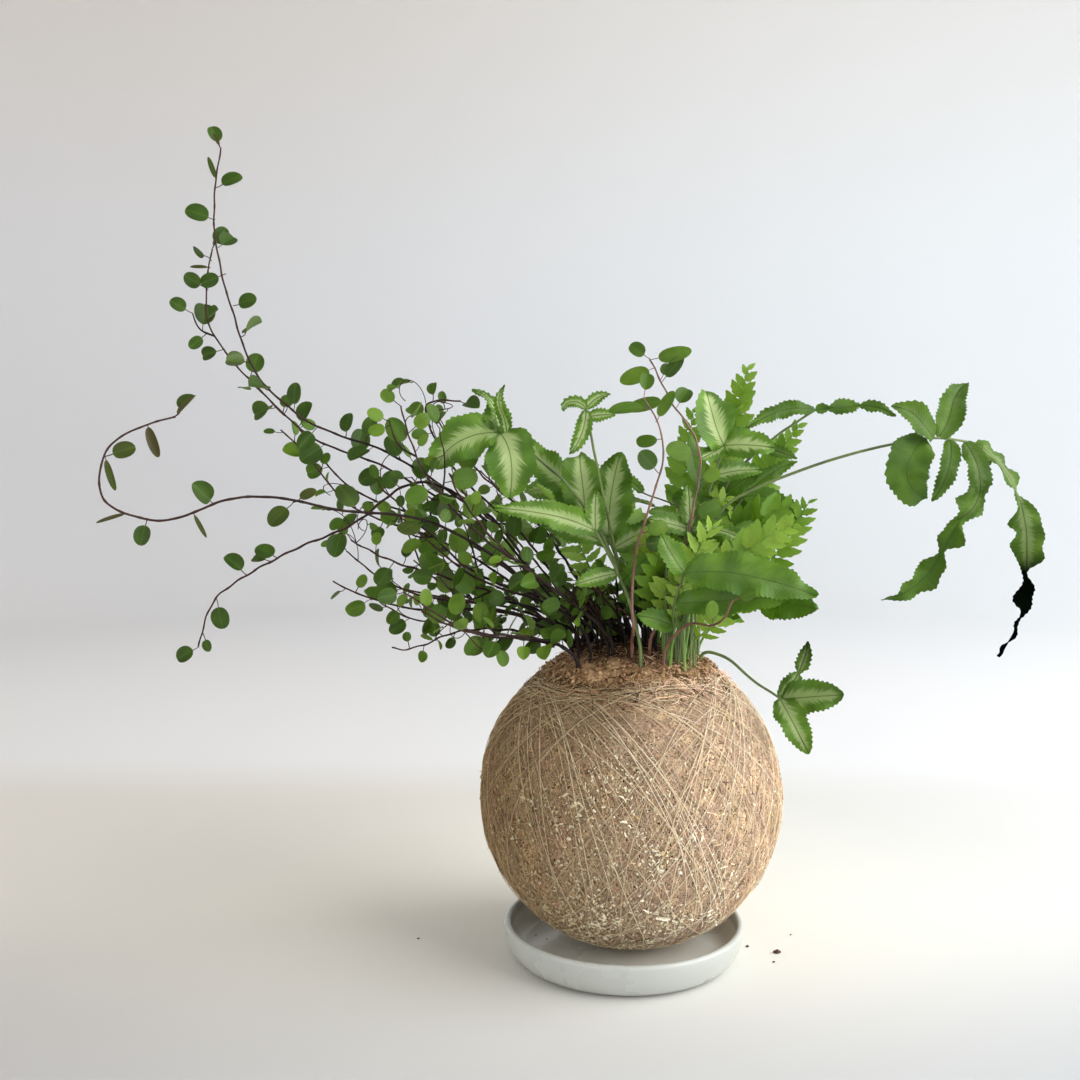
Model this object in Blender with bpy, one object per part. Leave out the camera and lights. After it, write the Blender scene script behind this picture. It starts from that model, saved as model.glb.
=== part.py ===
"""Kokedama: a thread-wound fibre ball on a glazed saucer, with wire vine, brake fern and ladder fern.

Lengths are in millimetres and become metres where a mesh is made. +X is right, +Y is back and +Z is up.
The origin is the centre of the saucer's flat underside. Each spray and each frond is a solid of its own,
rooted in a plain hole in the soil.
"""

import math

import bmesh
import bpy
import numpy as np
from mathutils.bvhtree import BVHTree

METRES = 0.001
SEAT_GAP = 0.3

SAUCER = dict(foot=40.4, rim=48.0, height=14.3, floor=3.7, wall=2.8, sides=28, steps=4)
BALL = dict(centre=(3.0, 8.0, 63.5), radius=60.0, wrap=5.5, flat=4.0, sides=26, rings=10, innerRings=5)
OPENING = dict(angle=33.0, ripple=1.5, slack=0.9)
SOIL = dict(radius=62.5, rings=2, rootDepth=6.0, collar=1.5, hole=2.0)
THREAD = dict(loops=5, thickness=0.95, segments=26, topMargin=4.0, elevations=(-8.0, 4.0, 14.0))

VINE = dict(stem=(0.95, 0.7), leaf=9.8, thickness=0.65, joint=0.36, leafGap=2.2)
BRAKE = dict(stalk=(1.1, 0.8), thickness=0.7, joint=0.4, station=5.6)
LADDER = dict(rib=1.0, pitch=6.4, bareShare=0.3, thickness=0.7)
FOLIAGE_GAP = 0.5
BALL_CLEARANCE = 3.5
# How a stem is moved off its neighbours: it starts moving over runUp, each move reaches spread either way.
BEND = dict(rounds=80, runUp=8.0, spread=14.0, search=8.0, spare=0.7, extra=0.2)
STEM_TOLERANCE = 0.45
TWIG_TOLERANCE = 0.4
VIEWER = (0.0, -1.0, 0.45)
REAR = (0.0, 1.0, 0.45)

COLOURS = {
    "saucer": ("glazedCeramic", (0.86, 0.87, 0.87), 0.12),
    "soil_core": ("peat", (0.10, 0.055, 0.03), 0.95),
    "fibre_wrap": ("cocoFibre", (0.50, 0.37, 0.25), 0.9),
    "winding_thread": ("paleThread", (0.66, 0.53, 0.38), 0.7),
    "vine": ("vineGreen", (0.09, 0.20, 0.035), 0.5),
    "vine_red": ("vineRed", (0.30, 0.10, 0.06), 0.5),
    "brake": ("brakeGreen", (0.20, 0.42, 0.09), 0.45),
    "ladder": ("ladderGreen", (0.28, 0.52, 0.08), 0.5),
}

# Each vine spray: its root on the soil (x, y), the points that its stem is trained through, where its leaves
# start and how far apart they are, the way they face, and its side twigs as (share of stem, side, length).
VINES = {
    "vine_tall_right": dict(
        root=(-6, 8),
        route=[(-26, 8, 143), (-60, 10, 178), (-96, 8, 202), (-124, 4, 213), (-143, -1, 231), (-152, -6, 262),
               (-157, -9, 290), (-154, -8, 316)],
        leafStart=118, leafGap=5.4,
    ),
    "vine_tall_left": dict(
        root=(-3, 17),
        route=[(-22, 17, 138), (-60, 20, 172), (-95, 22, 194), (-126, 14, 208), (-148, 7, 230),
               (-163, 3, 252), (-160, 0, 280)],
        leafStart=112, leafGap=5.8, twigs=[(0.86, -1, 13)],
    ),
    "vine_third": dict(
        root=(-8, 27),
        route=[(-29, 30, 138), (-70, 28, 168), (-115, 21, 190), (-133, 17, 213), (-150, 22, 228)],
        leafStart=60, leafGap=12, twigs=[(0.5, 1, 26)],
    ),
    "vine_curl": dict(
        root=(-14, -8),
        route=[(-37, -14, 150), (-71, -20, 174), (-110, -28, 181), (-142, -40, 186), (-170, -50, 178),
               (-186, -55, 187), (-184, -54, 203), (-172, -47, 212), (-163, -44, 215)],
        leafStart=70, leafGap=13,
    ),
    "vine_droop": dict(
        root=(-11, -1),
        route=[(-30, -7, 146), (-57, -6, 180), (-80, -10, 190), (-104, -14, 175), (-140, -18, 158),
               (-158, -16, 145), (-165, -14, 127)],
        leafStart=62, leafGap=12, twigs=[(0.42, -1, 22)],
    ),
    "vine_low_front": dict(
        root=(-21, 3), route=[(-34, 0, 137), (-65, -3, 151), (-90, 0, 158), (-109, 8, 166)],
        leafStart=22, leafGap=10, twigs=[(0.45, -1, 24), (0.7, 1, 20)],
    ),
    "vine_low_middle": dict(
        root=(-20, 13), route=[(-36, 13, 138), (-70, 14, 141), (-92, 13, 147), (-112, 15, 161)],
        leafStart=26, leafGap=10, twigs=[(0.5, 1, 22)],
    ),
    "vine_low_near": dict(
        root=(-19, -12), route=[(-34, -16, 129), (-60, -26, 135), (-72, -28, 143), (-84, -30, 150)],
        leafStart=20, leafGap=9, twigs=[(0.5, -1, 20)],
    ),
    "vine_low_back": dict(
        root=(-17, 24), route=[(-36, 27, 131), (-60, 31, 135), (-85, 34, 130), (-100, 33, 137)],
        leafStart=22, leafGap=10, twigs=[(0.55, 1, 20)],
    ),
    "vine_middle": dict(
        root=(-13, 16), route=[(-30, 8, 141), (-60, 4, 154), (-80, 3, 172), (-97, 4, 188)],
        leafStart=36, leafGap=9, twigs=[(0.55, 1, 24), (0.75, -1, 18)],
    ),
    "vine_red_arch": dict(
        root=(-7, -9), route=[(-30, -13, 150), (-62, -20, 176), (-78, -20, 196), (-86, -16, 219)],
        leafStart=40, leafGap=9, twigs=[(0.72, 1, 26), (0.85, -1, 18)],
    ),
    "vine_hook": dict(
        root=(-1, 3), route=[(-18, 1, 143), (-44, -2, 173), (-72, -5, 203), (-77, -6, 220), (-64, -9, 221)],
        leafStart=60, leafGap=10, twigs=[(0.5, -1, 22)],
    ),
    "vine_back_high": dict(
        root=(-5, 34), route=[(-14, 46, 140), (-34, 64, 168), (-62, 80, 192), (-80, 86, 214)],
        leafStart=36, leafGap=10, face=REAR, twigs=[(0.55, 1, 24)],
    ),
    "vine_back_low": dict(
        root=(-13, 30), route=[(-24, 42, 134), (-50, 60, 142), (-74, 68, 152)],
        leafStart=24, leafGap=10, face=REAR, twigs=[(0.5, -1, 20)],
    ),
    "vine_back_droop": dict(
        root=(3, 36), route=[(4, 52, 136), (10, 72, 150), (14, 90, 146), (12, 102, 130)],
        leafStart=26, leafGap=10, face=REAR, twigs=[(0.5, 1, 20)],
    ),
    "vine_red_tall": dict(
        root=(9, -8), route=[(18, -12, 146), (24, -13, 178), (27, -14, 202), (15, -13, 223), (8, -12, 237)],
        leafStart=62, leafGap=11, red=True,
    ),
    "vine_red_short": dict(
        root=(2, -12), route=[(1, -18, 146), (3, -25, 168), (9, -27, 188), (12, -26, 206), (5, -23, 222)],
        leafStart=58, leafGap=14, red=True,
    ),
    "vine_red_low": dict(
        root=(14, -15), route=[(22, -24, 137), (32, -38, 140), (36, -44, 149)],
        leafStart=20, leafGap=9, red=True,
    ),
}

# Each brake fern frond: its root, the points of its stalk, and its pinnae as (share of the stalk, length,
# width, headings that the blade turns through from base to tip, face).
BRAKE_FERNS = {
    "brake_fern_left": dict(
        root=(5, 0), route=[(-4, -2, 158), (-28, -8, 194), (-49, -12, 209)],
        pinnae=[
            (1.0, 32, 18, [(-1, -0.3, 0.1), (-0.8, -0.3, -0.5), (-0.2, 0, -1)], VIEWER),
            (1.0, 27, 18, [(0.4, -0.5, -0.4), (0.1, -0.1, -1), (-0.2, 0.2, -1)], VIEWER),
            (1.0, 15, 10, [(-0.1, 0.4, 0.9), (-0.3, 0.5, 0.8)], VIEWER),
            (0.94, 27, 5, [(-0.7, -0.2, 0.7), (-0.3, 0.2, 1), (-0.9, 0.1, 0.2)], VIEWER),
            (0.97, 25, 5, [(-0.1, 0.2, 1), (-0.5, 0.1, 0.9), (0.5, 0.1, 0.8)], VIEWER),
        ],
    ),
    "brake_fern_curl": dict(
        root=(10, 6), route=[(0, 0, 150), (-8, -4, 180), (-16, -8, 218)],
        pinnae=[
            (1.0, 19, 6, [(0, -0.1, -1), (-0.6, -0.2, -0.7)], VIEWER),
            (1.0, 12, 4.5, [(-0.5, 0, 0.9), (-0.8, 0, 0), (0, -0.2, -1)], VIEWER),
            (1.0, 12, 4.5, [(0.5, 0.2, 0.8), (0.9, 0.2, 0.1)], VIEWER),
            (0.97, 11, 5, [(0.8, -0.3, 0.2), (1, -0.1, -0.1)], VIEWER),
        ],
    ),
    "brake_fern_pale": dict(
        root=(10, 13), route=[(2, 7, 144), (-8, 3, 164), (-16, 0, 178)],
        pinnae=[
            (1.0, 27, 17, [(0.1, -0.5, 0.9), (0, -0.1, 1), (0.2, 0.9, 0.5)], VIEWER),
            (0.96, 44, 14, [(-0.3, 0.4, 0.9), (-0.7, 0.2, 0.5), (-0.4, 0.2, 0.9)], VIEWER),
            (0.8, 24, 10, [(-1, 0.1, 0.5), (-0.9, 0, 0)], VIEWER),
        ],
    ),
    "brake_fern_bright": dict(
        root=(5, -17), route=[(0, -14, 146), (-12, -8, 171)],
        pinnae=[
            (1.0, 42, 10, [(-0.8, -0.6, 0.5), (-1, -0.1, 0.2), (-1, 0, 0.05)], VIEWER),
            (1.0, 16, 8, [(-0.1, -0.2, 1), (0.1, -0.1, 1)], VIEWER),
            (0.7, 18, 7, [(-0.8, -0.4, -0.1), (-0.9, -0.2, -0.3)], VIEWER),
        ],
    ),
    "brake_fern_yellow": dict(
        root=(12, 20), route=[(4, 18, 142), (-6, 14, 167)],
        pinnae=[
            (1.0, 35, 17, [(0, 0.2, 1), (0.3, -0.1, 1)], VIEWER),
            (0.94, 25, 10, [(-1, 0.5, 0.7), (-0.8, 0.3, 0.5)], VIEWER),
            (0.9, 24, 10, [(1, 0.4, 0.6), (1, 0.2, 0.4)], VIEWER),
        ],
    ),
    "brake_fern_middle": dict(
        root=(18, 8), route=[(25, 4, 159), (32, 0, 184), (38, -2, 204)],
        pinnae=[
            (1.0, 24, 17, [(-0.5, -0.5, 0.8), (-0.3, -0.1, 1), (-0.1, 0.7, 0.7)], VIEWER),
            (1.0, 15, 7, [(-0.9, -0.5, 0.1), (-0.8, -0.4, 0.4)], VIEWER),
            (1.0, 20, 12, [(0.8, -0.5, 0.1), (1, -0.2, -0.2)], VIEWER),
            (0.86, 20, 8, [(0.9, 0.2, 0.3), (1, 0.1, -0.1)], VIEWER),
        ],
    ),
    "brake_fern_thin": dict(
        root=(25, 14), route=[(31, 14, 158), (42, 12, 189), (57, 10, 205), (75, 6, 218)],
        pinnae=[
            (1.0, 34, 6, [(-1, -0.3, 0.2), (-0.9, -0.3, -0.3), (-0.8, -0.4, -0.6)], VIEWER),
            (1.0, 33, 7, [(1, 0.2, 0.1), (1, 0, 0.1), (0.8, -0.3, -0.6)], VIEWER),
            (0.8, 14, 5, [(0.8, -0.3, -0.4), (1, -0.3, -0.3)], VIEWER),
        ],
    ),
    "brake_fern_long": dict(
        root=(24, 1),
        route=[(28, -2, 155), (38, -5, 180), (58, -6, 191), (90, -9, 201), (116, -10, 207), (135, -4, 205)],
        pinnae=[
            (1.0, 96, 9,
             [(0.8, 0.2, -0.4), (0.5, 0.1, -0.9), (0.05, 0, -1), (-0.1, 0, -1), (-0.9, -0.1, -0.9)], VIEWER),
            (1.0, 77, 10, [(0.4, 0.1, -1), (-0.5, 0, -0.9), (-0.5, 0, -0.9), (-1, 0.1, -0.2)], VIEWER),
            (0.89, 23, 10, [(-0.6, -0.5, 0.6), (-0.7, -0.2, 0.7), (-1, 0.2, 0)], VIEWER),
            (0.9, 30, 10, [(0.6, 0.3, 0.7), (0.3, 0.5, 0.9), (0.8, 0.5, 0.4)], VIEWER),
            (0.87, 34, 13,
             [(-0.8, -0.6, -0.5), (-0.6, -0.4, -0.9), (0.4, 0.3, -0.6), (0.9, 0.5, -0.2)], VIEWER),
            (0.93, 27, 7, [(0, -0.8, -0.7), (-0.3, -0.1, -1), (-0.6, 0.1, -0.8)], VIEWER),
            (0.97, 35, 9, [(0.6, -0.3, -0.8), (0, -0.2, -1), (-0.9, 0.2, -0.5)], VIEWER),
        ],
    ),
    "brake_fern_low": dict(
        root=(30, -1), route=[(36, -3, 122), (48, -9, 114), (60, -12, 106)],
        pinnae=[
            (1.0, 24, 13, [(0.9, -0.5, 0.2), (1, -0.2, 0.1)], VIEWER),
            (0.97, 26, 5, [(0.9, 0.5, 0.5), (0.5, 0.1, 1), (0.1, -0.1, 0.9)], VIEWER),
            (0.98, 25, 11, [(0.3, -0.7, -0.6), (0.4, -0.4, -0.9)], VIEWER),
        ],
    ),
    "brake_fern_front": dict(
        root=(19, -11), route=[(17, -20, 142), (20, -28, 157)],
        pinnae=[
            (1.0, 50, 15, [(1, -0.5, 0.2), (1, -0.2, -0.2), (1, 0, -0.4)], VIEWER),
            (0.7, 46, 12, [(1, -0.4, 0), (1, -0.1, 0), (1, 0, -0.1)], VIEWER),
            (0.45, 18, 8, [(-0.7, -0.5, 0.5), (-0.9, -0.3, 0.1)], VIEWER),
            (1.0, 18, 9, [(-0.6, -0.4, 0.8), (-0.5, 0, 1)], VIEWER),
        ],
    ),
    "brake_fern_inner": dict(
        root=(15, -3), route=[(24, -8, 145), (24, -12, 172)],
        pinnae=[
            (0.9, 28, 9, [(1, -0.2, 0), (1, 0, -0.2)], VIEWER),
            (1.0, 25, 6, [(1, -0.3, 0.2), (0.7, -0.2, -0.6)], VIEWER),
            (1.0, 18, 8, [(-0.9, -0.4, 0.3), (-1, -0.1, 0.2)], VIEWER),
            (1.0, 20, 8, [(0.2, -0.3, 1), (0.1, 0, 1)], VIEWER),
        ],
    ),
    "brake_fern_right": dict(
        root=(30, 8), route=[(32, 12, 145), (38, 14, 168), (48, 12, 183)],
        pinnae=[
            (1.0, 31, 8, [(0.9, -0.3, 0.3), (0.7, -0.1, -0.5), (0.4, 0, -1)], VIEWER),
            (1.0, 27, 6, [(0.7, 0.2, 0.8), (0.9, 0, 0.3)], VIEWER),
            (0.85, 20, 8, [(1, 0, -0.1), (0.9, 0, -0.5)], VIEWER),
        ],
    ),
    "brake_fern_back_right": dict(
        root=(22, 28), route=[(30, 42, 145), (42, 62, 170), (52, 80, 178)],
        pinnae=[
            (1.0, 38, 12, [(0.6, 0.8, 0.1), (0.5, 0.8, -0.5), (0.3, 0.4, -0.9)], REAR),
            (0.96, 30, 13, [(-0.6, 0.6, 0.5), (-0.8, 0.5, -0.2)], REAR),
            (0.94, 28, 12, [(1, 0.1, 0.4), (1, 0, -0.3)], REAR),
        ],
    ),
    "brake_fern_back_left": dict(
        root=(12, 34), route=[(4, 50, 150), (-8, 70, 176), (-16, 84, 182)],
        pinnae=[
            (1.0, 36, 12, [(-0.4, 0.9, 0.1), (-0.3, 0.8, -0.6), (-0.2, 0.3, -0.9)], REAR),
            (0.95, 28, 13, [(-1, 0.2, 0.4), (-1, 0.2, -0.3)], REAR),
            (0.95, 28, 12, [(0.8, 0.5, 0.4), (0.8, 0.5, -0.4)], REAR),
        ],
    ),
}

# Each ladder fern frond: its root, the points of its midrib, its longest leaflets' length, and its face.
LADDER_FERNS = {
    "ladder_fern_tall": dict(
        root=(24, 22), route=[(34, 26, 156), (41, 24, 190), (50, 16, 235)], leaflet=9,
    ),
    "ladder_fern_upright": dict(
        root=(18, 15), route=[(24, 24, 150), (26, 27, 185), (29, 24, 218)], leaflet=9,
    ),
    "ladder_fern_right": dict(
        root=(29, 19), route=[(42, 30, 154), (58, 37, 187), (75, 36, 212)], leaflet=9,
    ),
    "ladder_fern_centre": dict(
        root=(5, 24), route=[(10, 32, 138), (6, 38, 164), (0, 42, 184)], leaflet=10,
    ),
    "ladder_fern_front": dict(
        root=(24, -7), route=[(30, -18, 134), (38, -26, 150), (50, -28, 170)], leaflet=8,
    ),
    "ladder_fern_side": dict(
        root=(31, 13), route=[(44, 10, 138), (58, 4, 158), (72, 0, 182)], leaflet=9,
    ),
    "ladder_fern_back": dict(
        root=(17, 34), route=[(22, 52, 146), (30, 72, 170), (34, 92, 180)], leaflet=10, face=REAR,
    ),
    "ladder_fern_rear_left": dict(
        root=(-3, 26), route=[(-10, 44, 146), (-22, 60, 172), (-34, 70, 196)], leaflet=9, face=REAR,
    ),
}


# ---------- curves ----------


def unit(vector):
    vector = np.asarray(vector, float)
    return vector / np.maximum(np.linalg.norm(vector, axis=-1, keepdims=True), 1e-9)


def smoothCurve(points, step=2.0, first=None):
    """A smooth curve through the points, which may start in a given direction."""
    points = np.array(points, float)
    lengths = np.linalg.norm(np.diff(points, axis=0), axis=1)
    slopes = np.diff(points, axis=0) / lengths[:, None]
    before, after = lengths[:-1, None], lengths[1:, None]
    middle = (slopes[:-1] * after + slopes[1:] * before) / (before + after)
    tangents = np.vstack([slopes[:1] if first is None else [first], middle, slopes[-1:]])
    stretches = []
    for i, length in enumerate(lengths):
        count = max(2, math.ceil(length / step))
        t = np.arange(count)[:, None] / count
        stretches.append(
            (1 + 2 * t) * (1 - t) ** 2 * points[i]
            + t * (1 - t) ** 2 * length * tangents[i]
            + t * t * (3 - 2 * t) * points[i + 1]
            + t * t * (t - 1) * length * tangents[i + 1]
        )
    return np.vstack(stretches + [points[-1:]])


def thinned(points, tolerance):
    """The fewest of the points that keep within tolerance of the curve."""
    if len(points) < 3:
        return points
    along = unit(points[-1] - points[0])
    offset = points - points[0]
    away = np.linalg.norm(offset - np.outer(offset @ along, along), axis=1)
    worst = int(away.argmax())
    if away[worst] < tolerance:
        return points[[0, -1]]
    return np.vstack([thinned(points[: worst + 1], tolerance)[:-1], thinned(points[worst:], tolerance)])


def distances(path):
    return np.concatenate([[0], np.cumsum(np.linalg.norm(np.diff(path, axis=0), axis=1))])


def pointAt(path, distance):
    """The point at a distance along the path, and the path's direction there."""
    reach = distances(path)
    distance = min(max(distance, 0), reach[-1] - 1e-6)
    i = int(np.searchsorted(reach, distance, side="right") - 1)
    direction = unit(path[i + 1] - path[i])
    return path[i] + direction * (distance - reach[i]), direction


def turningPath(start, headings, length, count):
    """A path of count points whose heading turns evenly through the given ones."""
    fine = 8 * (count - 1)
    at = (np.arange(fine) + 0.5) / fine * (len(headings) - 1)
    headings = np.array([unit(h) for h in headings])
    columns = [np.interp(at, np.arange(len(headings)), headings[:, k]) for k in range(3)]
    steps = unit(np.stack(columns, axis=1)) * length / fine
    return start + np.vstack([np.zeros(3), np.cumsum(steps, axis=0)])[::8]


def carriedNormals(path, face):
    """Directions of travel and face normals, where the face turns only as much as the path does."""
    tangents = unit(np.gradient(path, axis=-2))
    normals = np.empty_like(tangents)
    normal = np.asarray(face, float)
    for i in range(path.shape[-2]):
        tangent = tangents[..., i, :]
        normal = unit(normal - tangent * (normal * tangent).sum(axis=-1, keepdims=True))
        normals[..., i, :] = normal
    return tangents, normals


# ---------- solids as rows of sections ----------


def skinned(sections):
    """Corners and triangles of the closed skin over a row of sections. Both faces of a blade split alike."""
    count, corners = sections.shape[:2]
    row = np.arange(count - 1)[:, None] * corners
    j = np.arange(corners)
    a, b = row + j, row + (j + 1) % corners
    c, d = b + corners, a + corners
    turned = np.broadcast_to((j == 2)[:, None], (*a.shape, 1))
    first = np.where(turned, np.stack([a, b, d], axis=-1), np.stack([a, b, c], axis=-1))
    second = np.where(turned, np.stack([b, c, d], axis=-1), np.stack([a, c, d], axis=-1))
    last = (count - 1) * corners
    k = np.arange(1, corners - 1)
    ends = [np.stack([0 * k, k + 1, k], axis=1), np.stack([0 * k + last, last + k, last + k + 1], axis=1)]
    return sections.reshape(-1, 3), np.concatenate([first.reshape(-1, 3), second.reshape(-1, 3), *ends])


def tube(path, radii, sides=3):
    """A closed tube along the path, tapering from one radius to the other."""
    tangents, normals = carriedNormals(path, unit((0.3, 0.5, 0.8)))
    across = np.cross(tangents, normals)
    radius = np.linspace(radii[0], radii[1], len(path))[:, None, None]
    angles = -2 * math.pi * np.arange(sides) / sides
    spokes = np.cos(angles)[:, None] * across[:, None] + np.sin(angles)[:, None] * normals[:, None]
    return skinned(path[:, None] + radius * spokes)


def blade(path, face, left, right, thickness, lean=0.0, ripple=None):
    """A thin closed blade: half widths to its left and right, and how far its edges lean on and ripple."""
    tangents, normals = carriedNormals(path, face)
    sides = np.cross(tangents, normals)
    ripple = np.zeros((len(path), 2)) if ripple is None else ripple
    leftEdge = path - sides * left[:, None] + tangents * (lean * left)[:, None] + normals * ripple[:, :1]
    rightEdge = path + sides * right[:, None] + tangents * (lean * right)[:, None] + normals * ripple[:, 1:]
    rise = normals * (np.ones(len(path)) * thickness / 2)[:, None]
    return skinned(np.stack([leftEdge + rise, rightEdge + rise, rightEdge - rise, leftEdge - rise], axis=1))


# ---------- keeping foliage apart ----------


def makeTree(solid):
    points, faces = solid
    tree = BVHTree.FromPolygons(points.tolist(), faces.tolist())
    return dict(tree=tree, low=points.min(axis=0), high=points.max(axis=0))


def claims(crowd, owner, kind, solid):
    crowd.append(dict(makeTree(solid), owner=owner, kind=kind))


def outerPart(solid, bare):
    """The blade without its first stations, where it joins its stalk."""
    points, faces = solid
    start = 4 * bare
    return points[start:], faces[faces.min(axis=1) >= start] - start


def isClear(crowd, owner, solid, bare=0):
    """True if the solid is off the ball and meets no other plant, nor its own beyond its first stations."""
    points = solid[0]
    if np.linalg.norm(points - BALL["centre"], axis=1).min() < BALL["radius"] + BALL_CLEARANCE:
        return False
    whole = makeTree(solid)
    outer = makeTree(outerPart(solid, bare)) if bare else whole
    for other in crowd:
        kin = other["owner"] == owner
        if kin and other["kind"] == "stem":
            continue
        own = outer if kin else whole
        if (other["low"] > own["high"]).any() or (other["high"] < own["low"]).any():
            continue
        if own["tree"].overlap(other["tree"]):
            return False
    return True


def bendClear(path, radius, placed, fixed):
    """Moves the path forward or back until it clears the placed stems. Its first points stay."""
    reach = distances(path)
    ease = np.clip((reach - fixed) / BEND["runUp"], 0, 1)
    halfway = np.ptp(path[:, 0]) / 2 + BEND["search"]
    near = placed[abs(placed[:, 0] - path[:, 0].mean()) < halfway]
    if not len(near):
        return path
    for _ in range(BEND["rounds"]):
        gaps = np.linalg.norm(path[:, None] - near[None, :, :3], axis=2) - near[None, :, 3] - radius
        gaps[ease < 0.05] = np.inf
        i, j = np.unravel_index(gaps.argmin(), gaps.shape)
        lack = FOLIAGE_GAP + BEND["spare"] - gaps[i, j]
        if lack <= 0:
            break
        side = 1.0 if path[i, 1] >= near[j, 1] else -1.0
        nearby = np.exp(-(((reach - reach[i]) / BEND["spread"]) ** 2))
        path[:, 1] += side * (lack + BEND["extra"]) * ease * nearby
    return path


def soilTop(x, y):
    centre = BALL["centre"]
    return centre[2] + math.sqrt(SOIL["radius"] ** 2 - (x - centre[0]) ** 2 - (y - centre[1]) ** 2)


def rootedPath(root, route, radius, placed):
    """A stem from the bottom of its hole, straight up to its collar, then through its route."""
    x, y = root
    top = soilTop(x, y)
    foot = np.array([(x, y, top - SOIL["rootDepth"]), (x, y, top + SOIL["collar"])])
    curve = smoothCurve([foot[1], *route], first=(0, 0, 1))
    fixed = SOIL["rootDepth"] + SOIL["collar"] + 2
    path = bendClear(np.vstack([foot[:1], curve]), radius, placed, fixed)
    return thinned(path, STEM_TOLERANCE)


def sampled(path, radius):
    """Points a millimetre apart along the path, each with the stem's radius."""
    reach = distances(path)
    at = np.arange(0, reach[-1], 1.0)
    columns = [np.interp(at, reach, path[:, k]) for k in range(3)]
    return np.stack(columns + [np.full(len(at), radius)], axis=1)


# ---------- layout of the plants ----------


def twigRoute(path, share, side, length, face):
    """A side twig that leaves its stem at an angle and turns up."""
    start, along = pointAt(path, share * distances(path)[-1])
    across = unit(np.cross(along, face))
    heading = unit(0.7 * along + 0.8 * side * across + np.array((0, 0, 0.2)))
    later = unit(0.6 * along + 0.3 * side * across + np.array((0, 0, 0.7)))
    middle = start + heading * length * 0.45
    return np.array([start, middle, middle + later * length * 0.55])


def stemRadius(name):
    if name in BRAKE_FERNS:
        return BRAKE["stalk"][0]
    return VINE["stem"][0] if name in VINES else LADDER["rib"]


def layStems():
    """Every stem, stalk and rib, each bent clear of those before it: name -> paths, the main one first."""
    placed = np.zeros((0, 4))
    stems = {}
    for name, plan in {**BRAKE_FERNS, **VINES, **LADDER_FERNS}.items():
        radius = stemRadius(name)
        path = rootedPath(plan["root"], plan["route"], radius, placed)
        stems[name] = [path]
        placed = np.vstack([placed, sampled(path, radius)])
    for name, plan in VINES.items():
        for share, side, length in plan.get("twigs", ()):
            route = twigRoute(stems[name][0], share, side, length, plan.get("face", VIEWER))
            own = np.vstack([sampled(p, 0.8) for p in stems[name]])
            others = placed[~(placed[:, None, :3] == own[None, :, :3]).all(axis=2).any(axis=1)]
            path = bendClear(smoothCurve(route), VINE["stem"][1], others, fixed=1.0)
            path = thinned(path, TWIG_TOLERANCE)
            stems[name].append(path)
            placed = np.vstack([placed, sampled(path, VINE["stem"][1])])
    return stems


def pinnaSolid(pinna, grow=0.0):
    """A lance-shaped pinna with a waved, toothed edge."""
    path = turningPath(pinna["start"], pinna["headings"], pinna["length"], pinna["count"])
    share = np.linspace(0, 1, len(path))
    outline = np.sin(math.pi * np.clip(share * 0.94 + 0.03, 0, 1) ** 0.75) ** 0.65
    tooth = 0.86 + 0.14 * np.where(np.arange(len(share)) % 2, 1, -1)
    half = np.maximum(pinna["width"] / 2 * outline, 0.5)
    half[0] = BRAKE["joint"]
    thickness = np.full(len(share), BRAKE["thickness"]) + 2 * grow
    thickness[0] = BRAKE["joint"]
    wave = pinna["width"] * 0.07 * np.sin(share * pinna["waves"] * 2 * math.pi)
    wave[:2] = 0
    ripple = np.stack([wave, -wave], axis=1)
    left = half * tooth + grow
    right = half * (1.72 - tooth) + grow
    return blade(path, pinna["face"], left, right, thickness, 0.15, ripple)


def layPinnae(stems, crowd, rng):
    """The brake fern's pinnae, each tilted until it is clear of its neighbours."""
    pinnae = []
    for name, plan in BRAKE_FERNS.items():
        stalk = stems[name][0]
        for share, length, width, headings, face in plan["pinnae"]:
            start, _ = pointAt(stalk, share * distances(stalk)[-1])
            count = max(6, round(length / BRAKE["station"]) + 1)
            for attempt in range(24):
                tilt = rng.normal(size=3) * 0.04 * attempt
                shrink = 1 - 0.012 * attempt
                pinna = dict(
                    node=name, start=start, headings=[unit(h) + tilt for h in headings], count=count,
                    face=face, length=length * shrink, width=width * shrink, waves=length / 16,
                )
                if isClear(crowd, name, pinnaSolid(pinna, FOLIAGE_GAP), bare=2):
                    claims(crowd, name, "leaf", pinnaSolid(pinna))
                    pinnae.append(pinna)
                    break
            else:
                print("no room for a pinna of", name, share, length)
    return pinnae


def ladderSolid(frond, grow=0.0):
    """A ladder fern frond: one arched blade, cut to its rib between the leaflets."""
    path = frond["path"]
    half = np.full(len(path), LADDER["rib"])
    bare, pairs = frond["bare"], (len(path) - frond["bare"]) // 2
    share = (np.arange(pairs) + 0.5) / pairs
    reach = np.sin(math.pi * np.clip(0.12 + 0.86 * share, 0, 1)) ** 0.6 * frond["leaflet"] + 0.6
    half[bare + 1 : bare + 2 * pairs : 2] = reach
    half[bare::2] = 0.65
    half[-1] = 0.5
    sag = np.zeros((len(path), 2))
    sag[bare + 1 : bare + 2 * pairs : 2] = -0.12 * reach[:, None]
    return blade(path, frond["face"], half + grow, half + grow, LADDER["thickness"] + 2 * grow, 0.3, sag)


def ladderPath(path):
    """The rib resampled: a few points up the bare stalk, then two for each pair of leaflets."""
    reach = distances(path)
    bare = LADDER["bareShare"] * reach[-1]
    pairs = round((reach[-1] - bare) / LADDER["pitch"])
    at = np.concatenate([reach[reach < bare - 3], np.linspace(bare, reach[-1], 2 * pairs + 1)])
    count = int((reach < bare - 3).sum())
    return np.stack([np.interp(at, reach, path[:, k]) for k in range(3)], axis=1), count


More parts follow.
